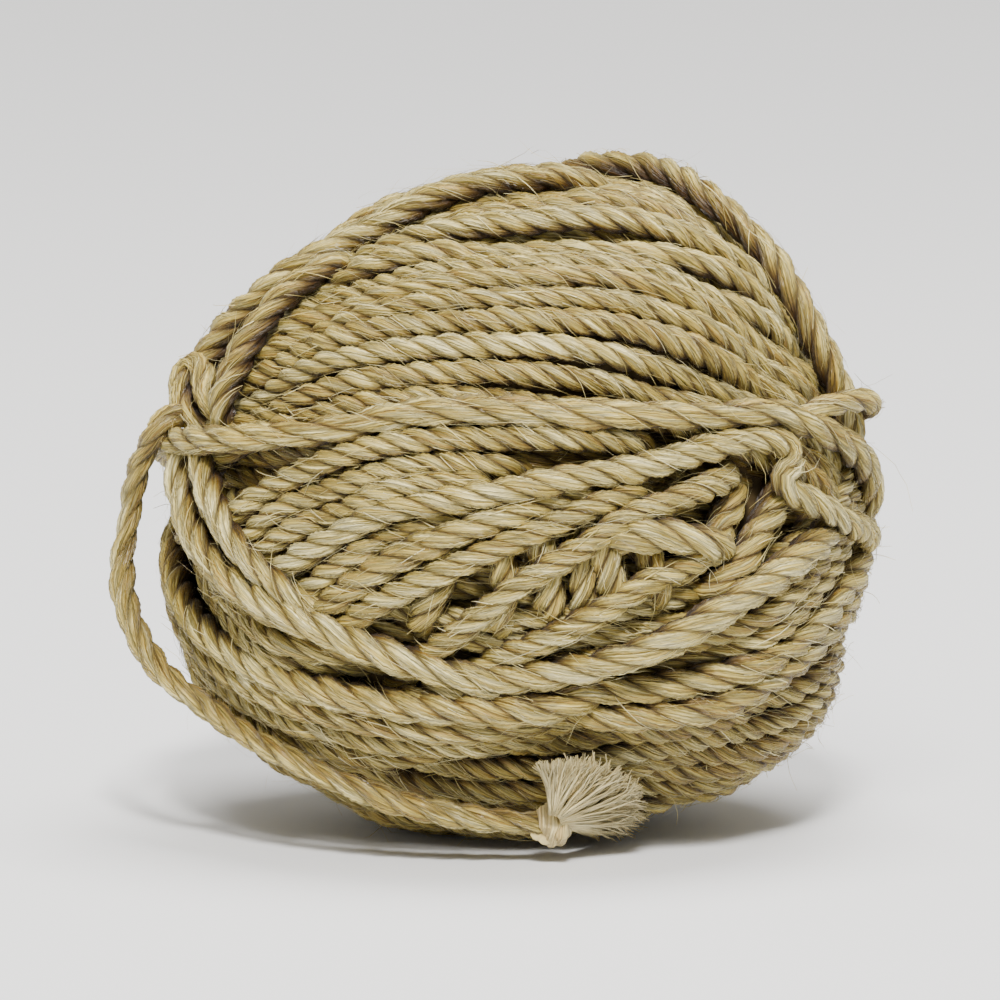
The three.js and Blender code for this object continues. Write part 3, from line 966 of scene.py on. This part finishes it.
class Field:
    """A shader value that arithmetic can be written on."""

    def __init__(self, paint: "Paint", socket: bpy.types.NodeSocket) -> None:
        """Wraps a socket of a material that is being painted."""
        self.paint = paint
        self.socket = socket

    def _math(self, operation: str, *values: "Field | float") -> "Field":
        """A Math node on the values."""
        return self.paint.node("ShaderNodeMath", {"operation": operation}, dict(enumerate(values)))

    def __add__(self, other: "Field | float") -> "Field":
        """self + other."""
        return self._math("ADD", self, other)

    def __sub__(self, other: "Field | float") -> "Field":
        """self - other."""
        return self._math("SUBTRACT", self, other)

    def __rsub__(self, other: float) -> "Field":
        """other - self."""
        return self._math("SUBTRACT", other, self)

    def __mul__(self, other: "Field | float") -> "Field":
        """self * other."""
        return self._math("MULTIPLY", self, other)

    def absolute(self) -> "Field":
        """self without its sign."""
        return self._math("ABSOLUTE", self)

    def clamp(self) -> "Field":
        """self kept from 0 to 1."""
        return self._math("MINIMUM", self._math("MAXIMUM", self, 0.0), 1.0)

    __radd__ = __add__
    __rmul__ = __mul__


class Paint:
    """One material's node tree, and the ways to add to it."""

    def __init__(self, name: str) -> None:
        """Makes an empty material with a Principled shader."""
        self.material = bpy.data.materials.new(name)
        self.material.use_nodes = True
        self.tree = self.material.node_tree
        self.shader = self.tree.nodes["Principled BSDF"]

    def node(
        self, kind: str, settings: dict[str, object] | None = None,
        inputs: dict[str | int, object] | None = None, output: str | int = 0,
    ) -> Field:
        """Adds a node.

        Args:
            kind: the node's type.
            settings: its own settings, such as an operation or a ramp's stops.
            inputs: numbers, colours or links for its sockets.
            output: the output to return.

        Returns:
            The chosen output.
        """
        made = self.tree.nodes.new(kind)
        for key, value in (settings or {}).items():
            if key == "stops":
                self.set_stops(made.color_ramp, value)
            else:
                setattr(made, key, value)
        for key, value in (inputs or {}).items():
            if isinstance(value, Field):
                self.tree.links.new(value.socket, made.inputs[key])
            else:
                made.inputs[key].default_value = value
        return Field(self, made.outputs[output])

    def set_stops(self, ramp: bpy.types.ColorRamp, stops: list[tuple[float, tuple]]) -> None:
        """Gives a colour ramp its stops."""
        while len(ramp.elements) < len(stops):
            ramp.elements.new(1.0)
        for element, (place, colour) in zip(ramp.elements, stops):
            element.position = place
            element.color = (*colour, 1.0)

    def noise(self, vector: Field, detail: float, roughness: float) -> Field:
        """Soft noise from 0 to 1 at a place."""
        inputs = {"Vector": vector, "Scale": 1.0, "Detail": detail, "Roughness": roughness}
        return self.node("ShaderNodeTexNoise", None, inputs, "Fac")

    def link(self, value: Field, socket: str) -> None:
        """Feeds a value to one of the shader's sockets."""
        self.tree.links.new(value.socket, self.shader.inputs[socket])


@dataclass(frozen=True)
class SisalFinish:
    """Dry, hairy sisal: straight fibres along each strand, from pale cream to brown.

    dark to pale: the fibres' colours, at the stops of their ramp; deep: the painted shade that
    grooves and hidden places are tinted with, up to the light of lit_from; line_depth and
    cleft_depth: how dark fine lines and broad ones between fibres are, painted shade in the gaps
    between fibres; streak_long and streak_wide: a single fibre; skew: how far fibres lean against
    the string's run; shares: how much each kind of streak, the tube's own tone and its light add to
    the colour, the light share as painted light and shade; relief: the fibres' height, with its
    own shares.
    """

    name: str
    dark: tuple[float, float, float] = (0.12, 0.06, 0.008)
    tan: tuple[float, float, float] = (0.32, 0.20, 0.035)
    straw: tuple[float, float, float] = (0.52, 0.405, 0.094)
    pale: tuple[float, float, float] = (0.93, 0.83, 0.42)
    deep: tuple[float, float, float] = (0.13, 0.07, 0.009)
    line_depth: float = 0.4
    cleft_depth: float = 0.54
    streak_long: float = 9 * MM
    streak_wide: float = 0.3 * MM
    streak_roughness: float = 0.65
    own_pattern: float = 60.0
    line_offset: float = 3.7
    skew: float = 0.5
    contrast: float = 2.3
    line_sharpness: float = 13.0
    stops: tuple[float, ...] = (0.08, 0.34, 0.6, 0.92)
    lit_from: float = 0.84
    fine_share: float = 0.42
    broad_share: float = 0.4
    patch_share: float = 0.24
    tone_share: float = 0.24
    light_share: float = 0.3
    darker: float = 0.34
    relief: float = 0.34 * MM
    relief_shares: tuple[float, ...] = (0.4, 0.5, 0.4, 0.7)
    roughness: float = 0.37
    unevenly_rough: float = 0.4
    gleam: float = 0.5
    sheen: float = 0.05
    sheen_roughness: float = 0.4

    def material(self) -> bpy.types.Material:
        """Paints the finish.

        Returns:
            The material.
        """
        paint = Paint(self.name)
        uv = paint.node("ShaderNodeUVMap", {"uv_map": "UVMap"})
        split = paint.node("ShaderNodeSeparateXYZ", None, {0: uv})
        along = split
        round_it = Field(paint, split.socket.node.outputs[1])
        round_it = round_it + along * self.skew
        tone = paint.node("ShaderNodeAttribute", {"attribute_name": "tone"}, None, "Fac")
        light = paint.node("ShaderNodeAttribute", {"attribute_name": "light"}, None, "Fac")
        fine = self.streaks(paint, along, round_it, tone, 1.0, 3.0)
        broad = self.streaks(paint, along, round_it, tone, 3.0, 2.0)
        patch = self.streaks(paint, along, round_it, tone, 18.0, 2.0)
        lines = self.fibre_lines(paint, along, round_it, tone, 1.0)
        clefts = self.fibre_lines(paint, along, round_it, tone, 3.4)
        mix = fine * self.fine_share + broad * self.broad_share + patch * self.patch_share
        # Painted light and shade: the light attribute makes open places paler and shaded ones darker.
        mix = (mix + tone * self.tone_share + light * self.light_share - self.darker).clamp()
        stops = list(zip(self.stops, (self.dark, self.tan, self.straw, self.pale)))
        colour = paint.node("ShaderNodeValToRGB", {"stops": stops}, {"Fac": mix})
        # Painted shade: grooves and hidden places are tinted towards the deep colour.
        tints = [(0.0, self.deep), (self.lit_from, (1.0, 1.0, 1.0))]
        shade = paint.node("ShaderNodeValToRGB", {"stops": tints}, {"Fac": light})
        shaded = paint.node("ShaderNodeVectorMath", {"operation": "MULTIPLY"}, {0: colour, 1: shade})
        # Painted shade in the gaps between fibres: the fine and broad lines darken the colour.
        lined = lines * self.line_depth + (1 - self.line_depth)
        lined = lined * (clefts * self.cleft_depth + (1 - self.cleft_depth))
        lit = paint.node("ShaderNodeVectorMath", {"operation": "SCALE"}, {0: shaded, "Scale": lined})
        paint.link(lit, "Base Color")
        paint.link((self.roughness + (fine - 0.5) * self.unevenly_rough).clamp(), "Roughness")
        shares = zip((fine, broad, lines, clefts), self.relief_shares)
        height = sum(part * share for part, share in shares)
        bumps = {"Height": height, "Strength": 1.0, "Distance": self.relief}
        paint.link(paint.node("ShaderNodeBump", None, bumps), "Normal")
        paint.shader.inputs["Specular IOR Level"].default_value = self.gleam
        paint.shader.inputs["Sheen Weight"].default_value = self.sheen
        paint.shader.inputs["Sheen Roughness"].default_value = self.sheen_roughness
        return paint.material

    def streaks(
        self, paint: Paint, along: Field, across: Field, tone: Field, size: float, detail: float
    ) -> Field:
        """Noise drawn out along the fibres, with more contrast."""
        noise = self.drawn_noise(paint, along, across, tone, size, detail)
        return ((noise - 0.5) * self.contrast + 0.5).clamp()

    def drawn_noise(
        self, paint: Paint, along: Field, across: Field, tone: Field, size: float, detail: float
    ) -> Field:
        """Noise drawn out along the fibres.

        Args:
            paint: the material that is being painted.
            along: place along the string.
            across: place round it.
            tone: the tube's own number.
            size: how much coarser than single fibres.
            detail: the noise's detail.

        Returns:
            The noise, from 0 to 1.
        """
        vector = paint.node(
            "ShaderNodeCombineXYZ", None,
            {
                0: along * (1 / (self.streak_long * size**0.5)),
                1: across * (1 / (self.streak_wide * size)),
                2: tone * (self.own_pattern + size),
            },
        )
        return paint.noise(vector, detail, self.streak_roughness)

    def fibre_lines(
        self, paint: Paint, along: Field, across: Field, tone: Field, size: float
    ) -> Field:
        """Fine dark lines between fibres, painted shade in their gaps: 0 in a line, 1 elsewhere."""
        noise = self.drawn_noise(paint, along, across, tone + self.line_offset, size, 1.0)
        return ((noise - 0.5).absolute() * self.line_sharpness).clamp()


@dataclass(frozen=True)
class PlainFinish:
    """A matt finish with soft mottling, for the ball's packed inside and the floor."""

    name: str
    low: tuple[float, float, float]
    high: tuple[float, float, float]
    scale: float
    roughness: float = 0.9

    def material(self) -> bpy.types.Material:
        """Paints the finish.

        Returns:
            The material.
        """
        paint = Paint(self.name)
        place = paint.node("ShaderNodeTexCoord", None, None, "Object")
        scaled = paint.node("ShaderNodeVectorMath", {"operation": "SCALE"}, {0: place, "Scale": self.scale})
        stops = [(0.3, self.low), (0.7, self.high)]
        colour = paint.node("ShaderNodeValToRGB", {"stops": stops}, {"Fac": paint.noise(scaled, 3, 0.6)})
        paint.link(colour, "Base Color")
        paint.shader.inputs["Roughness"].default_value = self.roughness
        return paint.material


@dataclass
class WoundBall:
    """The wound ball: its packed inside, its bands and its single runs.

    shaded: how much light is lost deep in the ball, between the depths shaded_from and shaded_to;
    inside_clear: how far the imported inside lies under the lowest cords.
    """

    form: WindingFrame
    string: bpy.types.Material
    inside: bpy.types.Material
    strands: Strands = field(default_factory=Strands)
    floor_clear: float = 0.05 * MM
    seed: int = 21
    shaded: float = 0.48
    shaded_from: float = 1 * MM
    shaded_to: float = 12 * MM
    inside_clear: float = 0.6 * MM
    inside_cuts: int = 6
    sheaths: list[Sheath] = field(default_factory=list)

    def build(self) -> list[bpy.types.Object]:
        """Winds the ball and makes its pieces.

        Returns:
            The pieces.
        """
        winder = Winder(self.form)
        heap = winder.wind()
        rng = np.random.default_rng(self.seed)
        pieces = [self.core(heap)]
        groups: dict[str, Tubes] = {}
        for cord in winder.cords:
            sheath = self.strands.sweep(cord, rng)
            self.sheaths.append(sheath)
            rings = sheath.rings
            world = self.flattened(self.form.to_world(rings.reshape(-1, 3))).reshape(rings.shape)
            band = cord.name.rsplit("_", 1)[0]
            tubes = groups.setdefault(f"{band}_turns" if cord.closed else "crossing_runs", Tubes())
            light = sheath.light * self.openness(rings)
            tubes.add(world, cord.closed, sheath.length, math.pi * cord.thick, cord.tone, light)
        pieces += [tubes.piece(name, self.string) for name, tubes in groups.items()]
        for piece in pieces:
            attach(piece, "root")
            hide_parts("ball")
        return pieces

    def openness(self, rings: np.ndarray) -> np.ndarray:
        """How open to light points are by their depth under the ball's outer form.

        Args:
            rings: points in the winding frame.

        Returns:
            A number from 0 to 1 for each point.
        """
        flat = rings.reshape(-1, 3)
        depth = self.form.form_radius(unit(flat)) - np.linalg.norm(flat, axis=1)
        lost = self.shaded * smoothstep(self.shaded_from, self.shaded_to, depth)
        return (1 - lost).reshape(rings.shape[:2])

    def flattened(self, points: np.ndarray) -> np.ndarray:
        """Presses what lies lower than the resting surface up to it."""
        lifted = points.copy()
        lifted[:, 2] = np.maximum(lifted[:, 2], self.floor_clear)
        return lifted

    def core(self, heap: Heap) -> bpy.types.Object:
        """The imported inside, seen only between turns.

        Args:
            heap: the wound heap, whose inside gives the form.

        Returns:
            The piece.
        """
        bpy.ops.object.select_all(action="DESELECT")
        bpy.ops.mesh.primitive_ico_sphere_add(subdivisions=self.inside_cuts, radius=1.0)
        piece = bpy.context.active_object
        piece.name = piece.data.name = "packed_inside"
        points = np.zeros(len(piece.data.vertices) * 3)
        piece.data.vertices.foreach_get("co", points)
        directions = unit(points.reshape(-1, 3))
        closeness = directions.astype(np.float32) @ heap.directions.T.astype(np.float32)
        radius = heap.core[np.argmax(closeness, axis=1)] - self.inside_clear
        world = self.flattened(self.form.to_world(directions * radius[:, None]))
        piece.data.vertices.foreach_set("co", world.ravel())
        piece.data.update()
        bpy.ops.object.shade_smooth()
        piece.data.materials.append(self.inside)
        LOG.info("packed_inside: %d faces", len(piece.data.polygons))
        return piece


@dataclass
class LooseEnd:
    """The free length of string that hangs beside the ball, with its knot and frayed tuft.

    route and knot: places as in the winding list; wrap: the coil of string that makes the knot;
    tuft_first and tuft_last: the angles that the tuft spans, with its longest and shortest reach;
    lock and strand: how the locks differ, and the strands in each; frizz and fluff: how unevenly
    strands run along the ball and off it.
    """

    form: WindingFrame
    string: bpy.types.Material
    frayed: bpy.types.Material
    thick: float = 4.8 * MM
    lay: float = 17 * MM
    strands: Strands = field(default_factory=Strands)
    route: tuple[tuple[float, ...], ...] = (
        (-60.6, 15.5, 0, 14), (-63.6, 14.6, 0, 16.6), (-65.9, 12.4, 0, 18), (-67.4, 9.6, 0, 15),
        (-69, 6.2, 0, 13), (-70, 2.4, 0, 11.4),
        (-70.6, -1.4, 0, 10.4), (-71.3, -5.6, 0, 10), (-72, -9.4, 0, 10), (-72.2, -13, 0, 10.4),
        (-71.8, -17, 0, 11), (-70.7, -20.8, 0, 12), (-69.2, -24.2, 0, 13.6), (-67, -28, 0, 15.6),
        (-64, -31.4, 0, 18.2), (-60.6, -34.2, 0, 21), (-56.6, -37, 3.8), (-52, -40.2, 3.4),
        (-47.4, -43, 3.2), (-42.4, -45.6, 3.1), (-37, -48.2, 3.1), (-31.4, -50.6, 3.1),
        (-25.2, -52.8, 3.1), (-18.8, -54.6, 3.2), (-11.6, -56, 3.2), (-5, -56.8, 3.3),
        (0.3, -57.2, 3.7), (3.2, -57.4, 3.9),
    )
    knot: tuple[float, float, float] = (4.6, -57.2, 4)
    tuft_first: float = math.radians(96)
    tuft_last: float = math.radians(-20)
    tuft_long: float = 16.6 * MM
    tuft_short: float = 10.8 * MM
    tuft_points: int = 9
    tuft_locks: int = 60
    lock_strands: int = 14
    swell: float = 0.07
    tone: float = 0.62
    wrap_turns: float = 2.15
    wrap_points: int = 46
    wrap_wide: float = 3.2 * MM
    wrap_radius: float = 2.2 * MM
    wrap_thick: float = 4.3 * MM
    wrap_lay: float = 40 * MM
    wrap_girth: float = 12 * MM
    strand_wide: tuple[float, float] = (0.2 * MM, 0.4 * MM)
    strand_flat: float = 0.6
    strand_root: float = 1.6 * MM
    lowest: float = 0.1 * MM
    lock_bend: float = 0.12
    lock_tones: tuple[float, float] = (0.3, 1.0)
    lock_uneven: float = 0.05
    strand_spread: float = 0.07
    strand_reach: float = 0.96
    strand_reach_most: float = 1.06
    strand_uneven: float = 0.05
    strand_bend: float = 0.09
    strand_tone: float = 0.12
    frizz: float = 0.035
    fluff: float = 0.16

    def build(self) -> list[bpy.types.Object]:
        """Makes the cord and its knot.

        Returns:
            The pieces.
        """
        rng = np.random.default_rng(4)
        points = np.array([self.form.place(*row) for row in self.route])
        line = smooth_line(points, 0.9 * MM)
        cord = Cord("loose", line, self.thick, self.lay, False, self.tone)
        sheath = self.strands.sweep(cord, rng, self.swell)
        tubes = Tubes()
        self.add_sheath(tubes, sheath, math.pi * self.thick, cord.tone)
        loose = tubes.piece("loose_string", self.string)
        knot = self.end_knot(rng)
        path = self.form.to_world(line)
        for piece, node, slot in ((loose, "loose_end", STRING_SLOT), (knot, "end_knot", FRAYED_SLOT)):
            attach(piece, "root")
            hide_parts(node)
        LOG.info("loose_string: %.1f mm long", sheath.length / MM)
        return [loose, knot]

    def add_sheath(self, tubes: Tubes, sheath: Sheath, girth: float, tone: float) -> None:
        """Adds a swept cord that lies in the open, where even its back gets half of the light."""
        world = self.form.to_world(sheath.rings.reshape(-1, 3)).reshape(sheath.rings.shape)
        tubes.add(world, False, sheath.length, girth, tone, sheath.light * 0.5 + 0.5)

    def reach(self, angle: float) -> float:
        """How far the tuft reaches from the knot at an angle."""
        longest_at = 0.1
        towards = math.cos(angle - longest_at) ** 2
        low = max(0.0, longest_at - angle)
        return (self.tuft_short + (self.tuft_long - self.tuft_short) * towards) * (1 - 2 * low * low)

    def end_knot(self, rng: np.random.Generator) -> bpy.types.Object:
        """The knot's wraps and the tuft that fans out of it.

        Args:
            rng: the source of unevenness.

        Returns:
            The piece.
        """
        tubes = Tubes()
        x, y, lift = self.knot
        heart = self.form.place(x, y, lift)
        outward = unit(heart)
        axis = unit(np.array([1.0, -0.05, -0.1]))
        axis = unit(axis - outward * (axis @ outward))
        across = np.cross(axis, outward)
        turn = np.linspace(0, 2 * math.pi * self.wrap_turns, self.wrap_points)
        coil = heart + np.outer(turn / turn[-1] - 0.5, axis) * self.wrap_wide
        coil += (np.outer(np.cos(turn), outward) + np.outer(np.sin(turn), across)) * self.wrap_radius
        line = smooth_line(coil, 0.6 * MM)
        wrap = Cord("wrap", line, self.wrap_thick, self.wrap_lay, False, 0.5)
        self.add_sheath(tubes, self.strands.sweep(wrap, rng), self.wrap_girth, wrap.tone)
        for _ in range(self.tuft_locks):
            self.add_lock(tubes, rng)
        return tubes.piece("knot_and_tuft", self.frayed)

    def add_lock(self, tubes: Tubes, rng: np.random.Generator) -> None:
        """One lock of frayed strands from inside the knot to the tuft's edge.

        Args:
            tubes: what it is added to.
            rng: the source of unevenness.
        """
        middle = rng.uniform(self.tuft_last, self.tuft_first)
        bend, layer = rng.normal(0, self.lock_bend), rng.uniform(0, 1)
        tone = rng.uniform(*self.lock_tones)
        long = rng.normal(1.0, self.lock_uneven)
        for _ in range(self.lock_strands):
            angle = middle + rng.normal(0, self.strand_spread)
            angle = float(np.clip(angle, self.tuft_last, self.tuft_first))
            share = long * rng.normal(self.strand_reach, self.strand_uneven)
            reach = self.reach(angle) * min(self.strand_reach_most, share)
            lie = (angle, bend + rng.normal(0, self.strand_bend), reach, layer)
            self.add_strand(tubes, rng, lie, tone + rng.normal(0, self.strand_tone))

    def add_strand(
        self, tubes: Tubes, rng: np.random.Generator, lie: tuple[float, float, float, float], tone: float
    ) -> None:
        """One frayed strand.

        Args:
            tubes: what it is added to.
            rng: the source of unevenness.
            lie: its angle round the knot, bend, reach, and place from the tuft's back to its front.
            tone: a number from 0 to 1 that its finish varies by.
        """
        x, y, _ = self.knot
        angle, bend, reach, layer = lie
        share = np.linspace(0, 1, self.tuft_points)
        away = (self.strand_root + (reach - self.strand_root) * share) / MM
        frizz = rng.normal(0, self.frizz, self.tuft_points).cumsum() * share**2
        turned = angle + bend * share**2 * 0.6 + frizz
        lift = 1.2 + layer * (3.8 - 1.2 * share) + 1.4 * (1 - share) ** 2
        lift = lift + rng.normal(0, self.fluff, self.tuft_points).cumsum() * share
        line = np.array([
            self.form.place(x + a * math.cos(t), y + a * math.sin(t), max(0.3, h))
            for a, t, h in zip(away, turned, lift)
        ])
        wide = rng.uniform(*self.strand_wide)
        width = wide * (1 - 0.7 * share**3)
        along = unit(np.gradient(line, axis=0))
        side = unit(np.cross(unit(line), along))
        over = np.cross(along, side)
        corner = np.radians([90, 210, 330]) + rng.uniform(0, 1)
        rings = line[:, None, :] + side[:, None, :] * (width[:, None] * np.cos(corner))[..., None]
        rings += over[:, None, :] * (self.strand_flat * width[:, None] * np.sin(corner))[..., None]
        world = self.form.to_world(rings.reshape(-1, 3)).reshape(rings.shape)
        world[..., 2] = np.maximum(world[..., 2], self.lowest)
        light = 0.76 + 0.24 * smoothstep(0.0, 0.8, layer * 0.5 + share * 0.7)[:, None]
        tubes.add(world, False, reach, wide * 6, min(1.0, max(0.0, tone)), light)


@dataclass(frozen=True)
class FibreKind:
    """A kind of fibre: how many, how long, how far its end stands off and how much it curls."""

    count: int
    shortest: float
    longest: float
    flick: float
    curl: float
    half_wide: float
    points: int


@dataclass
class StrayFibres:
    """Single fibres, as thin flat blades: most follow the string, some stand off it.

    deepest: how far under the ball's outer form they still grow; round_it: how far round to the
    string's sides; stand: where they start, as a share of the string's thickness; lean: how far
    they follow the strands' turning, from a little against it to fully; wriggle: the share of
    small bends in their curl; roll: how unevenly their flat sides face; uneven_wide and taper:
    their width; every: which places along the string they may grow from.
    """

    form: WindingFrame
    sheaths: list[Sheath]
    finish: bpy.types.Material
    kinds: tuple[FibreKind, ...] = (
        FibreKind(8200, 3 * MM, 9 * MM, 0.35 * MM, 0.1, 0.06 * MM, 6),
        FibreKind(3500, 3 * MM, 11 * MM, 2.2 * MM, 0.6, 0.055 * MM, 8),
        FibreKind(90, 9 * MM, 20 * MM, 4 * MM, 1.0, 0.055 * MM, 12),
    )
    seed: int = 11
    deepest: float = 7 * MM
    round_it: float = 1.35
    stand: tuple[float, float] = (0.49, 0.53)
    lean: tuple[float, float] = (-0.15, 1.0)
    wriggle: float = 0.22
    roll: float = 0.3
    uneven_wide: tuple[float, float] = (0.7, 1.4)
    taper: float = 0.5
    tones: tuple[float, float] = (0.1, 1.0)
    every: int = 2
    lowest: float = 0.1 * MM

    def build(self) -> bpy.types.Object:
        """Makes the fibres as one piece.

        Returns:
            The piece.
        """
        rng = np.random.default_rng(self.seed)
        outer = [(sheath, i) for sheath in self.sheaths for i in self.outer_points(sheath)]
        tubes = Tubes()
        for kind in self.kinds:
            for _ in range(kind.count):
                sheath, i = outer[rng.integers(len(outer))]
                self.add_fibre(tubes, rng, sheath, i, kind)
        piece = tubes.piece("stray_fibres", self.finish)
        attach(piece, "root")
        return piece

    def outer_points(self, sheath: Sheath) -> np.ndarray:
        """Places along a cord that lie near the ball's outside."""
        over = np.linalg.norm(sheath.line, axis=1) - self.form.form_radius(unit(sheath.line))
        return np.nonzero(over > -self.deepest)[0][:: self.every]

    def add_fibre(
        self, tubes: Tubes, rng: np.random.Generator, sheath: Sheath, place: int, kind: FibreKind
    ) -> None:
        """One fibre that follows the string's surface for a while and then leaves it.

        Args:
            tubes: what it is added to.
            rng: the source of chance.
            sheath: the string it grows from.
            place: the ring it starts at.
            kind: what kind of fibre it is.
        """
        cord, rings = sheath.cord, len(sheath.line)
        length = rng.uniform(kind.shortest, kind.longest)
        spacing = sheath.length / rings
        share = np.linspace(0, 1, kind.points)
        way = rng.choice([-1.0, 1.0])
        ring = place + way * share * length / spacing
        if cord.closed:
            ring = ring % rings
        ring = np.clip(ring, 0, rings - 1.001)
        low = ring.astype(int)
        part = (ring - low)[:, None]
        following = (low + 1) % rings
        middle, side, across = (
            values[low] * (1 - part) + values[following] * part
            for values in (sheath.line, sheath.side, sheath.across)
        )
        slope = 2 * math.pi / cord.lay * rng.uniform(*self.lean)
        theta = rng.uniform(-self.round_it, self.round_it) + way * slope * length * share
        stand = cord.thick * rng.uniform(*self.stand) + abs(rng.normal(0, kind.flick)) * share**2
        line = middle + side * (stand * np.cos(theta))[:, None] + across * (stand * np.sin(theta))[:, None]
        line = line + np.outer(share**2, rng.normal(0, kind.curl, 3)) * MM
        small = rng.normal(0, kind.curl * self.wriggle, (kind.points, 3)).cumsum(axis=0)
        line = line + small * share[:, None] * MM
        ahead = unit(np.gradient(line, axis=0))
        outward = unit(line - middle)
        edge = unit(np.cross(ahead, outward + rng.normal(0, self.roll, 3)))
        half = kind.half_wide * rng.uniform(*self.uneven_wide)
        half = half * (1 - self.taper * share**2)[:, None]
        world = self.form.to_world(np.vstack([line - edge * half, line + edge * half]))
        world[:, 2] = np.maximum(world[:, 2], self.lowest)
        tubes.add_blade(world, length, rng.uniform(*self.tones))


@dataclass(frozen=True)
class Lamp:
    """A light: its kind, place, size (for a sun its angle) and power. It faces the ball."""

    name: str
    kind: str
    place: tuple[float, float, float]
    size: float
    power: float

    def hang(self, colour: tuple[float, float, float], aim: tuple[float, float, float]) -> None:
        """Puts the light in the scene, turned to a place."""
        data = bpy.data.lights.new(self.name, self.kind)
        setattr(data, "angle" if self.kind == "SUN" else "size", self.size)
        data.energy = self.power
        data.color = colour
        light = bpy.data.objects.new(self.name, data)
        bpy.context.scene.collection.objects.link(light)
        light.location = self.place
        x, y, z = np.array(aim) - np.array(self.place)
        light.rotation_euler = (math.atan2(math.hypot(x, y), -z), 0, math.atan2(x, -y) + math.pi)


@dataclass(frozen=True)
class Studio:
    """Camera, floor and lights. The lens is long: frame_width is what it shows at the ball."""

    form: WindingFrame
    away: float = 2.0
    frame_width: float = 180 * MM
    aim_right: float = -4.5 * MM
    sensor: float = 36.0
    far: float = 50.0
    floor_size: float = 12.0
    aim: tuple[float, float, float] = (0, 0, 0.06)
    warm: tuple[float, float, float] = (1.0, 0.965, 0.9)
    sky: tuple[float, float, float] = (1.0, 0.965, 0.89)
    sky_strength: float = 0.46
    lamps: tuple[Lamp, ...] = (
        Lamp("key", "SUN", (0.05, -1.15, 1.2), math.radians(8), 4.0),
        Lamp("gleam", "AREA", (-0.1, -1.15, 1.0), 0.3, 14),
        Lamp("top", "AREA", (0.15, 0.1, 1.4), 0.8, 24),
    )

    def camera(self) -> None:
        """Sets up a long-lens camera that looks slightly down at the ball's front."""
        lens = bpy.data.cameras.new("camera")
        lens.sensor_width = self.sensor
        lens.lens = self.sensor * self.away / self.frame_width
        lens.clip_end = self.far
        camera = bpy.data.objects.new("camera", lens)
        bpy.context.scene.collection.objects.link(camera)
        camera.location = self.form.to_world(np.array([[self.aim_right, 0, self.away]]))[0]
        camera.rotation_euler = (math.radians(90) - self.form.tilt, 0, 0)
        bpy.context.scene.camera = camera

    def floor(self, finish: bpy.types.Material) -> None:
        """Lays the pale floor."""
        bpy.ops.object.select_all(action="DESELECT")
        bpy.ops.mesh.primitive_plane_add(size=self.floor_size, location=(0, 0, 0))
        floor = bpy.context.active_object
        floor.name = "floor"
        floor.data.materials.append(finish)

    def lights(self) -> None:
        """Hangs the lamps and sets the pale surroundings."""
        for lamp in self.lamps:
            lamp.hang(self.warm, self.aim)
        world = bpy.data.worlds.new("surroundings")
        bpy.context.scene.world = world
        world.use_nodes = True
        sky = world.node_tree.nodes["Background"]
        sky.inputs["Color"].default_value = (*self.sky, 1)
        sky.inputs["Strength"].default_value = self.sky_strength


def main() -> None:
    """Builds the studio and the ball, piece by piece."""
    logging.basicConfig(level=logging.INFO, format="%(message)s")
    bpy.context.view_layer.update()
    form = WindingFrame()
    studio = Studio(form)
    studio.camera()
    string = SisalFinish("sisal_string").material()
    frayed = SisalFinish(
        "frayed_sisal", dark=(0.64, 0.44, 0.16), tan=(0.88, 0.67, 0.28), straw=(0.95, 0.78, 0.36),
        pale=(0.98, 0.87, 0.50), skew=0.0, line_depth=0.1, cleft_depth=0.08,
    ).material()
    fibre = SisalFinish(
        "fibre_sisal", dark=(0.24, 0.15, 0.03), tan=(0.48, 0.35, 0.10), straw=(0.68, 0.57, 0.22),
        pale=(0.92, 0.85, 0.52), skew=0.0, line_depth=0.16, cleft_depth=0.12,
    ).material()
    # The packed inside's near-black browns are painted shade for the deep gaps between turns.
    inside = PlainFinish("packed_sisal", (0.03, 0.018, 0.005), (0.12, 0.078, 0.025), 260).material()
    floor = PlainFinish("pale_floor", (0.83, 0.85, 0.90), (0.85, 0.87, 0.92), 2, 0.85).material()
    LooseEnd(form, string, frayed).build()
    ball = WoundBall(form, string, inside)
    ball.build()
    StrayFibres(form, ball.sheaths, fibre).build()
    studio.floor(floor)
    studio.lights()


if __name__ == "__main__":
    main()
